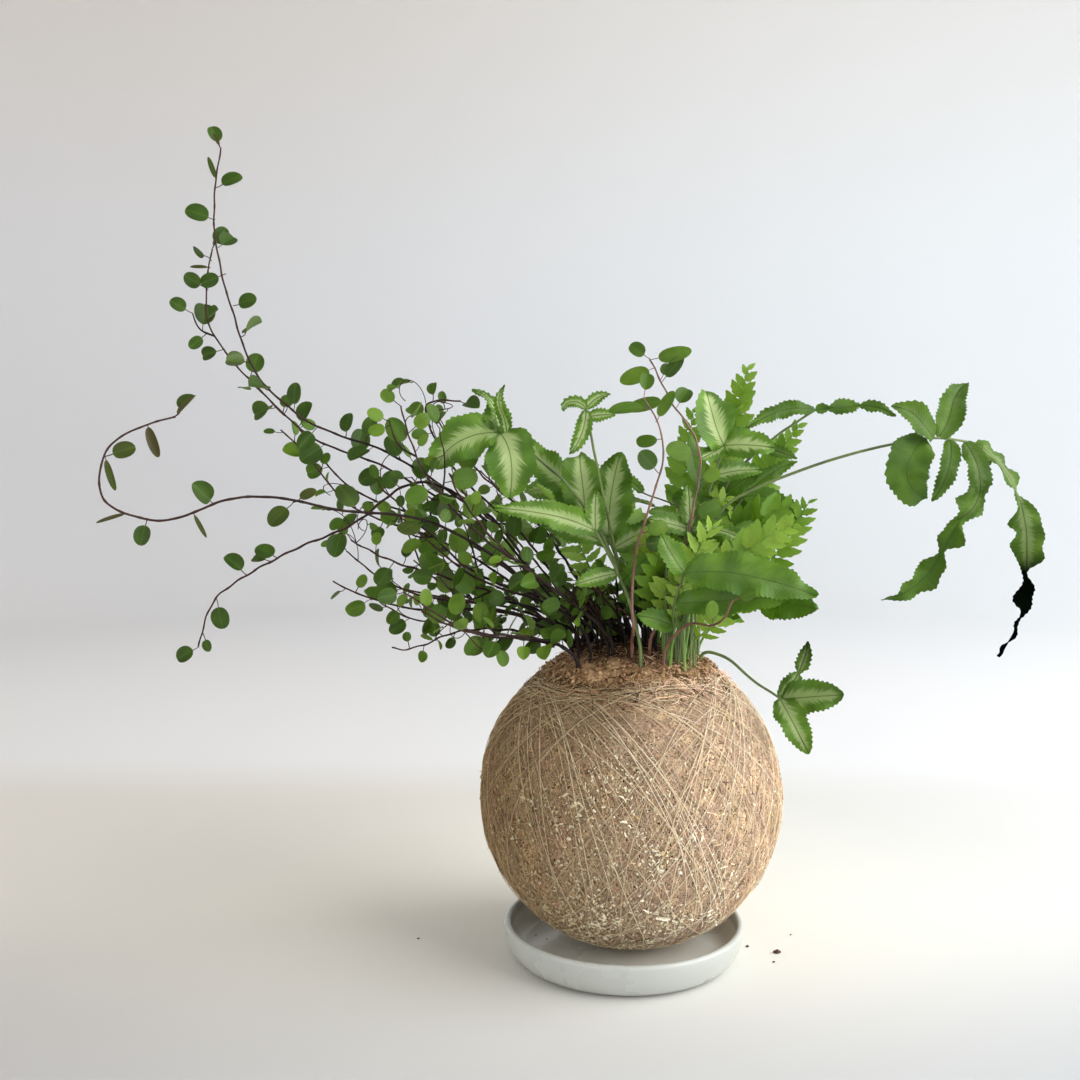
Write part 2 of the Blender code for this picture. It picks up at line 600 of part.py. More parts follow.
def layLadders(stems, crowd):
    """The ladder fern's fronds, each turned about its rib until its leaflets are clear."""
    fronds = []
    for name, plan in LADDER_FERNS.items():
        path, bare = ladderPath(stems[name][0])
        side = unit(np.cross(path[-1] - path[bare], plan.get("face", VIEWER)))
        face = unit(np.cross(side, path[-1] - path[bare]))
        others = [c for c in crowd if c["owner"] != name]
        turns = (0, 25, -25, 50, -50, 75, -75, 90)
        options = [(size, turn) for size in (1, 0.85, 0.7, 0.55, 0.4) for turn in turns]
        for size, turn in options:
            turned = face * math.cos(math.radians(turn)) + side * math.sin(math.radians(turn))
            frond = dict(node=name, path=path, bare=bare, face=turned, leaflet=plan["leaflet"] * size)
            if isClear(others, name, outerPart(ladderSolid(frond, FOLIAGE_GAP), bare)):
                break
        else:
            print("no room for", name)
        claims(crowd, name, "leaf", ladderSolid(frond))
        fronds.append(frond)
    return fronds


def leafSolid(leaf, grow=0.0):
    """A round vine leaf on a short stalk, gently arched."""
    length, width = leaf["length"], leaf["width"]
    beyond = np.array([0, 0.33, 0.75, 1]) * length
    along = np.array([0, *(leaf["stalk"] + beyond)])
    arch = leaf["arch"] * np.maximum(along - leaf["stalk"], 0) ** 2 / length
    path = leaf["base"] + along[:, None] * leaf["direction"] - arch[:, None] * leaf["face"]
    joint = VINE["joint"]
    half = np.array([joint / 2, joint, 0.46 * width, 0.47 * width, 0.16 * width]) + grow
    thickness = np.array([joint, *[VINE["thickness"]] * 4]) + 2 * grow
    return blade(path, leaf["face"], half, half, thickness)


def layLeaves(stems, crowd, rng):
    """The vine's leaves, on alternate sides, each turned until it is clear and left out if nothing fits."""
    leaves = []
    for name, plan in VINES.items():
        face = np.array(plan.get("face", VIEWER))
        for order, path in enumerate(stems[name]):
            total = distances(path)[-1]
            at = plan["leafStart"] if order == 0 else 5.0
            gap = VINE["leafGap"] * plan["leafGap"] * (1 if order == 0 else 0.75)
            spots = []
            while at < total - gap / 2:
                spots.append(at)
                at += gap * rng.uniform(0.8, 1.2)
            for number, spot in enumerate([*spots, total]):
                leaf = placeLeaf(name, path, spot, 1 - 2 * (number % 2), face, total, crowd, rng)
                if leaf:
                    claims(crowd, name, "leaf", leafSolid(leaf))
                    leaves.append(leaf)
    return leaves


def placeLeaf(name, path, at, side, face, total, crowd, rng):
    """A leaf at a distance along its stem: it leans forward, and the one at the tip goes straight on."""
    base, along = pointAt(path, at)
    forward = 1.6 if at == total else 0.45
    size = VINE["leaf"] * rng.uniform(0.82, 1.12) * (1 - 0.3 * (at / total) ** 4)
    for attempt in range(14):
        loose = 0.25 + 0.09 * attempt
        turned = unit(face + rng.normal(size=3) * 1.6 * loose)
        across = unit(np.cross(along, turned))
        direction = unit(forward * along + side * across + rng.normal(size=3) * loose)
        normal = unit(turned - direction * (turned @ direction))
        leaf = dict(
            node=name, base=base, direction=direction, face=normal, length=size,
            width=size * rng.uniform(0.8, 0.98), stalk=rng.uniform(2.2, 3.6), arch=rng.uniform(0.02, 0.16),
        )
        if isClear(crowd, name, leafSolid(leaf, FOLIAGE_GAP / 2 + 0.1)):
            return leaf
    return None


def stemSolids(stems):
    """A closed tube for each stem and twig; the ladder fern's ribs are part of its blades."""
    solids = {}
    for name, (main, *twigs) in stems.items():
        radii = BRAKE["stalk"] if name in BRAKE_FERNS else VINE["stem"]
        thin = (radii[1], radii[1] * 0.9)
        solids[name] = [tube(main, radii), *[tube(twig, thin) for twig in twigs]]
    return solids


def layPlants():
    rng = np.random.default_rng(20)
    stems = layStems()
    crowd = []
    solids = stemSolids(stems)
    for name, tubes in solids.items():
        for solid in tubes:
            claims(crowd, name, "stem", solid)
    pinnae = layPinnae(stems, crowd, rng)
    fronds = layLadders(stems, crowd)
    leaves = layLeaves(stems, crowd, rng)
    return dict(stems=stems, solids=solids, pinnae=pinnae, fronds=fronds, leaves=leaves)


# ---------- Blender objects ----------


def clearScene():
    for thing in list(bpy.data.objects):
        bpy.data.objects.remove(thing, do_unlink=True)


def material(key):
    name, colour, roughness = COLOURS[key]
    made = bpy.data.materials.get(name)
    if made is None:
        made = bpy.data.materials.new(name)
        made.use_nodes = True
        shader = made.node_tree.nodes["Principled BSDF"]
        shader.inputs["Base Color"].default_value = (*colour, 1)
        shader.inputs["Roughness"].default_value = roughness
    return made


def makeObject(name, solid, key, collection=None):
    points, faces = solid
    mesh = bpy.data.meshes.new(name)
    corners = [list(map(int, face)) for face in faces]
    mesh.from_pydata((np.asarray(points) * METRES).tolist(), [], corners)
    mesh.validate()
    made = bpy.data.objects.new(name, mesh)
    made.data.materials.append(material(key))
    (collection or bpy.context.scene.collection).objects.link(made)
    return made


def isClosed(mesh):
    probe = bmesh.new()
    probe.from_mesh(mesh)
    closed = bool(probe.faces) and all(edge.is_manifold for edge in probe.edges)
    probe.free()
    return closed


def evaluatedMesh(thing):
    bpy.context.view_layer.update()
    return bpy.data.meshes.new_from_object(thing.evaluated_get(bpy.context.evaluated_depsgraph_get()))


def fuse(body, solids, key):
    """Joins the solids to the body by one union, and removes what was joined."""
    if not solids:
        return body
    group = bpy.data.collections.new("joined")
    bpy.context.scene.collection.children.link(group)
    for i, solid in enumerate(solids):
        makeObject(f"joined_{i}", solid, key, group)
    union = body.modifiers.new("union", "BOOLEAN")
    union.operation = "UNION"
    union.operand_type = "COLLECTION"
    union.collection = group
    for solver in ("EXACT", "MANIFOLD"):
        union.solver = solver
        mesh = evaluatedMesh(body)
        if isClosed(mesh):
            break
    body.modifiers.clear()
    body.data = mesh
    for thing in list(group.objects):
        bpy.data.objects.remove(thing, do_unlink=True)
    bpy.data.collections.remove(group)
    return body


def makeSaucer():
    """The saucer turned from its profile: floor, quarter-ellipse wall, round lip and curved outside."""
    rim, foot, wall, floor = SAUCER["rim"], SAUCER["foot"], SAUCER["wall"], SAUCER["floor"]
    lip = wall / 2
    edge = SAUCER["height"] - lip
    turn = np.linspace(0, math.pi / 2, SAUCER["steps"] + 1)
    well, slope, rise = foot - 2, rim - wall - foot + 2, edge - floor
    inner = [(well + slope * math.sin(t), floor + rise * (1 - math.cos(t))) for t in turn]
    crown = [(rim - lip + lip * math.cos(t), edge + lip * math.sin(t)) for t in (2.3, 0.85)]
    outer = [(foot + (rim - foot) * math.sin(t), edge * (1 - math.cos(t))) for t in turn[::-1]]
    profile = [(0, floor), *inner, *crown, *outer, (0, 0)]
    mesh = bpy.data.meshes.new("saucer")
    mesh.from_pydata(
        [(x * METRES, 0, z * METRES) for x, z in profile], [(i, i + 1) for i in range(len(profile) - 1)], []
    )
    saucer = bpy.data.objects.new("saucer", mesh)
    saucer.data.materials.append(material("saucer"))
    bpy.context.scene.collection.objects.link(saucer)
    screw = saucer.modifiers.new("turn", "SCREW")
    screw.steps = screw.render_steps = SAUCER["sides"]
    screw.use_merge_vertices = True
    screw.merge_threshold = 0.0001
    screw.use_smooth_shade = True
    return saucer


def rimAngle(azimuth, radius):
    """The polar angle of the opening's edge: even inside the wrap, a little uneven from its middle out."""
    uneven = OPENING["ripple"] * (math.sin(2 * azimuth + 0.6) + 0.6 * math.sin(5 * azimuth))
    return OPENING["angle"] + (uneven if radius > BALL["radius"] - BALL["wrap"] else 0)


def ballPoint(polar, azimuth, radius):
    """A point of the ball by its angle from the top and its azimuth; its underside is flattened."""
    centre = BALL["centre"]
    polar = math.radians(polar)
    return (
        centre[0] + radius * math.sin(polar) * math.cos(azimuth),
        centre[1] + radius * math.sin(polar) * math.sin(azimuth),
        centre[2] + radius * math.cos(polar),
    )


def flatAngle():
    """The polar angle at which the ball's underside is cut flat."""
    return 180 - math.degrees(math.acos((BALL["centre"][2] - BALL["flat"]) / BALL["radius"]))


def ballAzimuths():
    return 2 * math.pi * np.arange(BALL["sides"]) / BALL["sides"]


def ballRings(radius, count):
    """Rings of points from the opening's edge down to the flattened underside."""
    azimuths = ballAzimuths()
    edges = [rimAngle(a, radius) for a in azimuths]
    low = flatAngle()
    return [
        [ballPoint(e + (low - e) * share, a, radius) for e, a in zip(edges, azimuths)]
        for share in np.linspace(0, 1, count)
    ]


def revolved(rings, lowPole, highPole):
    """Skin over rings of equal count from first to last, closed by a pole at each end."""
    count = len(rings[0])
    points = [p for ring in rings for p in ring]
    faces = []
    for i in range(len(rings) - 1):
        for j in range(count):
            k = (j + 1) % count
            faces.append((i * count + j, (i + 1) * count + j, (i + 1) * count + k, i * count + k))
    last = (len(rings) - 1) * count
    points.append(lowPole)
    faces += [(last + j, len(points) - 1, last + (j + 1) % count) for j in range(count)]
    points.append(highPole)
    faces += [((j + 1) % count, len(points) - 1, j) for j in range(count)]
    return points, faces


def makeWrap():
    """The fibre wrap: a thick shell, open at the top, closed underneath."""
    inside = BALL["radius"] - BALL["wrap"]
    outerRings = ballRings(BALL["radius"], BALL["rings"])
    innerRings = ballRings(inside, BALL["innerRings"])
    x, y, _ = BALL["centre"]
    rings = innerRings[::-1] + outerRings
    points, faces = revolved(rings, (x, y, outerRings[-1][0][2]), (x, y, innerRings[-1][0][2]))
    return makeObject("fibre_wrap", (points, faces), "fibre_wrap")


def makeSoil(roots):
    """The soil ball, with its mound standing up through the opening and a plain hole for each stem."""
    inside = BALL["radius"] - BALL["wrap"] - SEAT_GAP
    shares = (np.arange(SOIL["rings"]) + 1) / SOIL["rings"]
    levels = [(share, SOIL["radius"]) for share in shares] + [(1, inside)]
    rings = [
        [ballPoint((rimAngle(a, radius) - OPENING["slack"]) * share, a, radius) for a in ballAzimuths()]
        for share, radius in levels
    ]
    rings += ballRings(inside, BALL["innerRings"])
    x, y, z = BALL["centre"]
    top = (x, y, z + SOIL["radius"])
    soil = makeObject("soil_core", revolved(rings, (x, y, rings[-1][0][2]), top), "soil_core")
    cutter = makeObject("root_holes", joined([rootHole(*root) for root in roots]), "soil_core")
    cut = soil.modifiers.new("holes", "BOOLEAN")
    cut.operation = "DIFFERENCE"
    cut.object = cutter
    mesh = evaluatedMesh(soil)
    soil.modifiers.clear()
    soil.data = mesh
    bpy.data.objects.remove(cutter, do_unlink=True)
    return soil


def rootHole(x, y):
    """A square prism from above the soil down to just under the stem's foot."""
    top = soilTop(x, y)
    path = np.array([(x, y, top - SOIL["rootDepth"] - SEAT_GAP), (x, y, top + 4)])
    return tube(path, (SOIL["hole"], SOIL["hole"]), sides=4)


def joined(solids):
    starts = np.cumsum([0] + [len(points) for points, _ in solids])
    faces = [faces + start for (_, faces), start in zip(solids, starts)]
    return np.vstack([points for points, _ in solids]), np.vstack(faces)


def threadLoop(number):
    """One turn of thread: a circle on the ball that skirts the opening and stays off the underside."""
    elevation = THREAD["elevations"][number % len(THREAD["elevations"])]
    azimuth = 2 * math.pi * number / THREAD["loops"]
    reach = 90 - elevation - OPENING["angle"] - OPENING["ripple"] * 1.6 - THREAD["topMargin"]
    radius = BALL["radius"] + SEAT_GAP + THREAD["thickness"] * 0.95
    tilt, spread = math.radians(elevation), math.radians(reach)
    axis = np.array((math.cos(azimuth) * math.cos(tilt), math.sin(azimuth) * math.cos(tilt), math.sin(tilt)))
    across = unit(np.cross(axis, (0, 0, 1)))
    upward = np.cross(across, axis)
    turns = 2 * math.pi * np.arange(THREAD["segments"]) / THREAD["segments"]
    outward = math.cos(spread) * axis + math.sin(spread) * (
        np.cos(turns)[:, None] * across + np.sin(turns)[:, None] * upward
    )
    along = -np.sin(turns)[:, None] * across + np.cos(turns)[:, None] * upward
    level = np.cross(outward, along)
    half = THREAD["thickness"] / 2
    corners = [outward * (radius - half) - level * half, outward * (radius - half) + level * half,
               outward * (radius + half * 1.2)]
    points = np.stack(corners, axis=1).reshape(-1, 3) + BALL["centre"]
    faces = []
    for i in range(THREAD["segments"]):
        j = (i + 1) % THREAD["segments"]
        for a in range(3):
            b = (a + 1) % 3
            faces += [(3 * i + a, 3 * i + b, 3 * j + b), (3 * i + a, 3 * j + b, 3 * j + a)]
    return points, faces


def makeThread():
    loops = [threadLoop(i) for i in range(THREAD["loops"])]
    body = makeObject("winding_thread", loops[0], "winding_thread")
    return fuse(body, loops[1:], "winding_thread")


def makePlants(plants):
    for name in BRAKE_FERNS:
        body = makeObject(name, plants["solids"][name][0], "brake")
        fuse(body, [pinnaSolid(p) for p in plants["pinnae"] if p["node"] == name], "brake")
    for frond in plants["fronds"]:
        makeObject(frond["node"], ladderSolid(frond), "ladder")
    for name, plan in VINES.items():
        key = "vine_red" if plan.get("red") else "vine"
        stem, *twigs = plants["solids"][name]
        leaves = [leafSolid(leaf) for leaf in plants["leaves"] if leaf["node"] == name]
        fuse(makeObject(name, stem, key), twigs + leaves, key)


def main():
    clearScene()
    plants = layPlants()
    makeSaucer()
    makeWrap()
    makeSoil([plan["root"] for plan in {**VINES, **BRAKE_FERNS, **LADDER_FERNS}.values()])
    makeThread()
    makePlants(plants)
    print("leaves", len(plants["leaves"]), "pinnae", len(plants["pinnae"]), "fronds", len(plants["fronds"]))


main()
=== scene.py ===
import math

import bpy
import numpy as np
from mathutils.bvhtree import BVHTree
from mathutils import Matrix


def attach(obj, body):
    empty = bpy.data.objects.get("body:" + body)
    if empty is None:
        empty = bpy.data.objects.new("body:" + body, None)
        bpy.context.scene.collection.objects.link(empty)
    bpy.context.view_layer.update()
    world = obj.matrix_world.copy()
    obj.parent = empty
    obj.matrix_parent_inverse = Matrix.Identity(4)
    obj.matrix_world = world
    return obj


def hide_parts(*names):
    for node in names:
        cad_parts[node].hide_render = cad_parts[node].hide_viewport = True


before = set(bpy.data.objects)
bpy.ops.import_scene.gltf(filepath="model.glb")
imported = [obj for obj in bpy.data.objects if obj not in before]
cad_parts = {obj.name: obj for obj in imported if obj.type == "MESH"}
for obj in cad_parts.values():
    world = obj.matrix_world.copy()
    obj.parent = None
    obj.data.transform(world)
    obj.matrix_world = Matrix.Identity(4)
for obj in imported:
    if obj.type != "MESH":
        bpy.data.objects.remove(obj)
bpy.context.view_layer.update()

# A kokedama: a thread-wound fibre ball in a glazed saucer, with wire vine, brake fern and ladder fern.
# Lengths are in millimetres and become metres where a mesh is made. The plants are laid out as their solids
# are, with the same values, so that each fine piece lies where its solid does.
metres = 0.001
print("frame loaded:", len(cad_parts), "nodes")

ball = dict(centre=(3.0, 8.0, 63.5), radius=60.0, wrap=5.5, flat=4.0)
opening = dict(angle=33.0, ripple=1.5, slack=0.9)
soil = dict(radius=62.5, rootDepth=6.0, collar=1.5)

vine = dict(stem=(0.95, 0.7), leaf=9.8, thickness=0.65, joint=0.36, leafGap=2.2)
brake = dict(stalk=(1.1, 0.8), thickness=0.7, joint=0.4, station=5.6)
ladder = dict(rib=1.0, pitch=6.4, bareShare=0.3, thickness=0.7)
foliageGap = 0.5  # the least distance between two solids
ballClearance = 3.5
bend = dict(rounds=80, runUp=8.0, spread=14.0, search=8.0, spare=0.7, extra=0.2)
stemTolerance = 0.45
twigTolerance = 0.4
viewer = np.array((0.0, -1.0, 0.45))  # the way that leaves at the front face
rear = np.array((0.0, 1.0, 0.45))  # and those at the back


# Each vine spray: its root on the soil, the points that its stem is trained through, where its leaves start
# and how they are spaced and face, and its side twigs as (share of the stem's length, side, length).
vines = {
    "vine_tall_right": dict(root=(-6, 8), leaves=(118, 5.4), route=[
        (-26, 8, 143), (-60, 10, 178), (-96, 8, 202), (-124, 4, 213), (-143, -1, 231), (-152, -6, 262),
        (-157, -9, 290), (-154, -8, 316)]),
    "vine_tall_left": dict(root=(-3, 17), leaves=(112, 5.8), twigs=[(0.86, -1, 13)], route=[
        (-22, 17, 138), (-60, 20, 172), (-95, 22, 194), (-126, 14, 208), (-148, 7, 230), (-163, 3, 252),
        (-160, 0, 280)]),
    "vine_third": dict(root=(-8, 27), leaves=(60, 12), twigs=[(0.5, 1, 26)], route=[
        (-29, 30, 138), (-70, 28, 168), (-115, 21, 190), (-133, 17, 213), (-150, 22, 228)]),
    "vine_curl": dict(root=(-14, -8), leaves=(70, 13), route=[
        (-37, -14, 150), (-71, -20, 174), (-110, -28, 181), (-142, -40, 186), (-170, -50, 178),
        (-186, -55, 187), (-184, -54, 203), (-172, -47, 212), (-163, -44, 215)]),
    "vine_droop": dict(root=(-11, -1), leaves=(62, 12), twigs=[(0.42, -1, 22)], route=[
        (-30, -7, 146), (-57, -6, 180), (-80, -10, 190), (-104, -14, 175), (-140, -18, 158),
        (-158, -16, 145), (-165, -14, 127)]),
    "vine_low_front": dict(root=(-21, 3), leaves=(22, 10), twigs=[(0.45, -1, 24), (0.7, 1, 20)], route=[
        (-34, 0, 137), (-65, -3, 151), (-90, 0, 158), (-109, 8, 166)]),
    "vine_low_middle": dict(root=(-20, 13), leaves=(26, 10), twigs=[(0.5, 1, 22)], route=[
        (-36, 13, 138), (-70, 14, 141), (-92, 13, 147), (-112, 15, 161)]),
    "vine_low_near": dict(root=(-19, -12), leaves=(20, 9), twigs=[(0.5, -1, 20)], route=[
        (-34, -16, 129), (-60, -26, 135), (-72, -28, 143), (-84, -30, 150)]),
    "vine_low_back": dict(root=(-17, 24), leaves=(22, 10), twigs=[(0.55, 1, 20)], route=[
        (-36, 27, 131), (-60, 31, 135), (-85, 34, 130), (-100, 33, 137)]),
    "vine_middle": dict(root=(-13, 16), leaves=(36, 9), twigs=[(0.55, 1, 24), (0.75, -1, 18)], route=[
        (-30, 8, 141), (-60, 4, 154), (-80, 3, 172), (-97, 4, 188)]),
    "vine_red_arch": dict(root=(-7, -9), leaves=(40, 9), twigs=[(0.72, 1, 26), (0.85, -1, 18)], route=[
        (-30, -13, 150), (-62, -20, 176), (-78, -20, 196), (-86, -16, 219)]),
    "vine_hook": dict(root=(-1, 3), leaves=(60, 10), twigs=[(0.5, -1, 22)], route=[
        (-18, 1, 143), (-44, -2, 173), (-72, -5, 203), (-77, -6, 220), (-64, -9, 221)]),
    "vine_back_high": dict(root=(-5, 34), leaves=(36, 10), twigs=[(0.55, 1, 24)], face=rear, route=[
        (-14, 46, 140), (-34, 64, 168), (-62, 80, 192), (-80, 86, 214)]),
    "vine_back_low": dict(root=(-13, 30), leaves=(24, 10), twigs=[(0.5, -1, 20)], face=rear, route=[
        (-24, 42, 134), (-50, 60, 142), (-74, 68, 152)]),
    "vine_back_droop": dict(root=(3, 36), leaves=(26, 10), twigs=[(0.5, 1, 20)], face=rear, route=[
        (4, 52, 136), (10, 72, 150), (14, 90, 146), (12, 102, 130)]),
    "vine_red_tall": dict(root=(9, -8), leaves=(62, 11), red=True, route=[
        (18, -12, 146), (24, -13, 178), (27, -14, 202), (15, -13, 223), (8, -12, 237)]),
    "vine_red_short": dict(root=(2, -12), leaves=(58, 14), red=True, route=[
        (1, -18, 146), (3, -25, 168), (9, -27, 188), (12, -26, 206), (5, -23, 222)]),
    "vine_red_low": dict(root=(14, -15), leaves=(20, 9), red=True, route=[
        (22, -24, 137), (32, -38, 140), (36, -44, 149)]),
}

# Each brake fern frond: its root, the points of its stalk, and its pinnae as (share of the stalk, length,
# width, headings that the blade turns through).
brakeFerns = {
    "brake_fern_left": dict(root=(5, 0), route=[(-4, -2, 158), (-28, -8, 194), (-49, -12, 209)], pinnae=[
        (1.0, 32, 18, [(-1, -0.3, 0.1), (-0.8, -0.3, -0.5), (-0.2, 0, -1)]),
        (1.0, 27, 18, [(0.4, -0.5, -0.4), (0.1, -0.1, -1), (-0.2, 0.2, -1)]),
        (1.0, 15, 10, [(-0.1, 0.4, 0.9), (-0.3, 0.5, 0.8)]),
        (0.94, 27, 5, [(-0.7, -0.2, 0.7), (-0.3, 0.2, 1), (-0.9, 0.1, 0.2)]),
        (0.97, 25, 5, [(-0.1, 0.2, 1), (-0.5, 0.1, 0.9), (0.5, 0.1, 0.8)])]),
    "brake_fern_curl": dict(root=(10, 6), route=[(0, 0, 150), (-8, -4, 180), (-16, -8, 218)], pinnae=[
        (1.0, 19, 6, [(0, -0.1, -1), (-0.6, -0.2, -0.7)]),
        (1.0, 12, 4.5, [(-0.5, 0, 0.9), (-0.8, 0, 0), (0, -0.2, -1)]),
        (1.0, 12, 4.5, [(0.5, 0.2, 0.8), (0.9, 0.2, 0.1)]),
        (0.97, 11, 5, [(0.8, -0.3, 0.2), (1, -0.1, -0.1)])]),
    "brake_fern_pale": dict(root=(10, 13), route=[(2, 7, 144), (-8, 3, 164), (-16, 0, 178)], pinnae=[
        (1.0, 27, 17, [(0.1, -0.5, 0.9), (0, -0.1, 1), (0.2, 0.9, 0.5)]),
        (0.96, 44, 14, [(-0.3, 0.4, 0.9), (-0.7, 0.2, 0.5), (-0.4, 0.2, 0.9)]),
        (0.8, 24, 10, [(-1, 0.1, 0.5), (-0.9, 0, 0)])]),
    "brake_fern_bright": dict(root=(5, -17), route=[(0, -14, 146), (-12, -8, 171)], pinnae=[
        (1.0, 42, 10, [(-0.8, -0.6, 0.5), (-1, -0.1, 0.2), (-1, 0, 0.05)]),
        (1.0, 16, 8, [(-0.1, -0.2, 1), (0.1, -0.1, 1)]),
        (0.7, 18, 7, [(-0.8, -0.4, -0.1), (-0.9, -0.2, -0.3)])]),
    "brake_fern_yellow": dict(root=(12, 20), route=[(4, 18, 142), (-6, 14, 167)], pinnae=[
        (1.0, 35, 17, [(0, 0.2, 1), (0.3, -0.1, 1)]),
        (0.94, 25, 10, [(-1, 0.5, 0.7), (-0.8, 0.3, 0.5)]),
        (0.9, 24, 10, [(1, 0.4, 0.6), (1, 0.2, 0.4)])]),
    "brake_fern_middle": dict(root=(18, 8), route=[(25, 4, 159), (32, 0, 184), (38, -2, 204)], pinnae=[
        (1.0, 24, 17, [(-0.5, -0.5, 0.8), (-0.3, -0.1, 1), (-0.1, 0.7, 0.7)]),
        (1.0, 15, 7, [(-0.9, -0.5, 0.1), (-0.8, -0.4, 0.4)]),
        (1.0, 20, 12, [(0.8, -0.5, 0.1), (1, -0.2, -0.2)]),
        (0.86, 20, 8, [(0.9, 0.2, 0.3), (1, 0.1, -0.1)])]),
    "brake_fern_thin": dict(root=(25, 14), route=[
        (31, 14, 158), (42, 12, 189), (57, 10, 205), (75, 6, 218)], pinnae=[
        (1.0, 34, 6, [(-1, -0.3, 0.2), (-0.9, -0.3, -0.3), (-0.8, -0.4, -0.6)]),
        (1.0, 33, 7, [(1, 0.2, 0.1), (1, 0, 0.1), (0.8, -0.3, -0.6)]),
        (0.8, 14, 5, [(0.8, -0.3, -0.4), (1, -0.3, -0.3)])]),
    "brake_fern_long": dict(root=(24, 1), route=[
        (28, -2, 155), (38, -5, 180), (58, -6, 191), (90, -9, 201), (116, -10, 207),
        (135, -4, 205)], pinnae=[
        (1.0, 96, 9, [(0.8, 0.2, -0.4), (0.5, 0.1, -0.9), (0.05, 0, -1), (-0.1, 0, -1), (-0.9, -0.1, -0.9)]),
        (1.0, 77, 10, [(0.4, 0.1, -1), (-0.5, 0, -0.9), (-0.5, 0, -0.9), (-1, 0.1, -0.2)]),
        (0.89, 23, 10, [(-0.6, -0.5, 0.6), (-0.7, -0.2, 0.7), (-1, 0.2, 0)]),
        (0.9, 30, 10, [(0.6, 0.3, 0.7), (0.3, 0.5, 0.9), (0.8, 0.5, 0.4)]),
        (0.87, 34, 13, [(-0.8, -0.6, -0.5), (-0.6, -0.4, -0.9), (0.4, 0.3, -0.6), (0.9, 0.5, -0.2)]),
        (0.93, 27, 7, [(0, -0.8, -0.7), (-0.3, -0.1, -1), (-0.6, 0.1, -0.8)]),
        (0.97, 35, 9, [(0.6, -0.3, -0.8), (0, -0.2, -1), (-0.9, 0.2, -0.5)])]),
    "brake_fern_low": dict(root=(30, -1), route=[(36, -3, 122), (48, -9, 114), (60, -12, 106)], pinnae=[
        (1.0, 24, 13, [(0.9, -0.5, 0.2), (1, -0.2, 0.1)]),
        (0.97, 26, 5, [(0.9, 0.5, 0.5), (0.5, 0.1, 1), (0.1, -0.1, 0.9)]),
        (0.98, 25, 11, [(0.3, -0.7, -0.6), (0.4, -0.4, -0.9)])]),
    "brake_fern_front": dict(root=(19, -11), route=[(17, -20, 142), (20, -28, 157)], pinnae=[
        (1.0, 50, 15, [(1, -0.5, 0.2), (1, -0.2, -0.2), (1, 0, -0.4)]),
        (0.7, 46, 12, [(1, -0.4, 0), (1, -0.1, 0), (1, 0, -0.1)]),
        (0.45, 18, 8, [(-0.7, -0.5, 0.5), (-0.9, -0.3, 0.1)]),
        (1.0, 18, 9, [(-0.6, -0.4, 0.8), (-0.5, 0, 1)])]),
    "brake_fern_inner": dict(root=(15, -3), route=[(24, -8, 145), (24, -12, 172)], pinnae=[
        (0.9, 28, 9, [(1, -0.2, 0), (1, 0, -0.2)]),
        (1.0, 25, 6, [(1, -0.3, 0.2), (0.7, -0.2, -0.6)]),
        (1.0, 18, 8, [(-0.9, -0.4, 0.3), (-1, -0.1, 0.2)]),
        (1.0, 20, 8, [(0.2, -0.3, 1), (0.1, 0, 1)])]),
    "brake_fern_right": dict(root=(30, 8), route=[(32, 12, 145), (38, 14, 168), (48, 12, 183)], pinnae=[
        (1.0, 31, 8, [(0.9, -0.3, 0.3), (0.7, -0.1, -0.5), (0.4, 0, -1)]),
        (1.0, 27, 6, [(0.7, 0.2, 0.8), (0.9, 0, 0.3)]),
        (0.85, 20, 8, [(1, 0, -0.1), (0.9, 0, -0.5)])]),
    "brake_fern_back_right": dict(root=(22, 28), face=rear, route=[
        (30, 42, 145), (42, 62, 170), (52, 80, 178)], pinnae=[
        (1.0, 38, 12, [(0.6, 0.8, 0.1), (0.5, 0.8, -0.5), (0.3, 0.4, -0.9)]),
        (0.96, 30, 13, [(-0.6, 0.6, 0.5), (-0.8, 0.5, -0.2)]),
        (0.94, 28, 12, [(1, 0.1, 0.4), (1, 0, -0.3)])]),
    "brake_fern_back_left": dict(root=(12, 34), face=rear, route=[
        (4, 50, 150), (-8, 70, 176), (-16, 84, 182)], pinnae=[
        (1.0, 36, 12, [(-0.4, 0.9, 0.1), (-0.3, 0.8, -0.6), (-0.2, 0.3, -0.9)]),
        (0.95, 28, 13, [(-1, 0.2, 0.4), (-1, 0.2, -0.3)]),
        (0.95, 28, 12, [(0.8, 0.5, 0.4), (0.8, 0.5, -0.4)])]),
}

# Each ladder fern frond: its root, the points of its midrib, the leaflet length at its widest, and its face.
ladderFerns = {
    "ladder_fern_tall": dict(root=(24, 22), leaflet=9, route=[(34, 26, 156), (41, 24, 190), (50, 16, 235)]),
    "ladder_fern_upright": dict(root=(18, 15), leaflet=9,
        route=[(24, 24, 150), (26, 27, 185), (29, 24, 218)]),
    "ladder_fern_right": dict(root=(29, 19), leaflet=9, route=[(42, 30, 154), (58, 37, 187), (75, 36, 212)]),
    "ladder_fern_centre": dict(root=(5, 24), leaflet=10, route=[(10, 32, 138), (6, 38, 164), (0, 42, 184)]),
    "ladder_fern_front": dict(root=(24, -7), leaflet=8,
        route=[(30, -18, 134), (38, -26, 150), (50, -28, 170)]),
    "ladder_fern_side": dict(root=(31, 13), leaflet=9, route=[(44, 10, 138), (58, 4, 158), (72, 0, 182)]),
    "ladder_fern_back": dict(root=(17, 34), leaflet=10, face=rear,
        route=[(22, 52, 146), (30, 72, 170), (34, 92, 180)]),
    "ladder_fern_rear_left": dict(root=(-3, 26), leaflet=9, face=rear,
        route=[(-10, 44, 146), (-22, 60, 172), (-34, 70, 196)]),
}


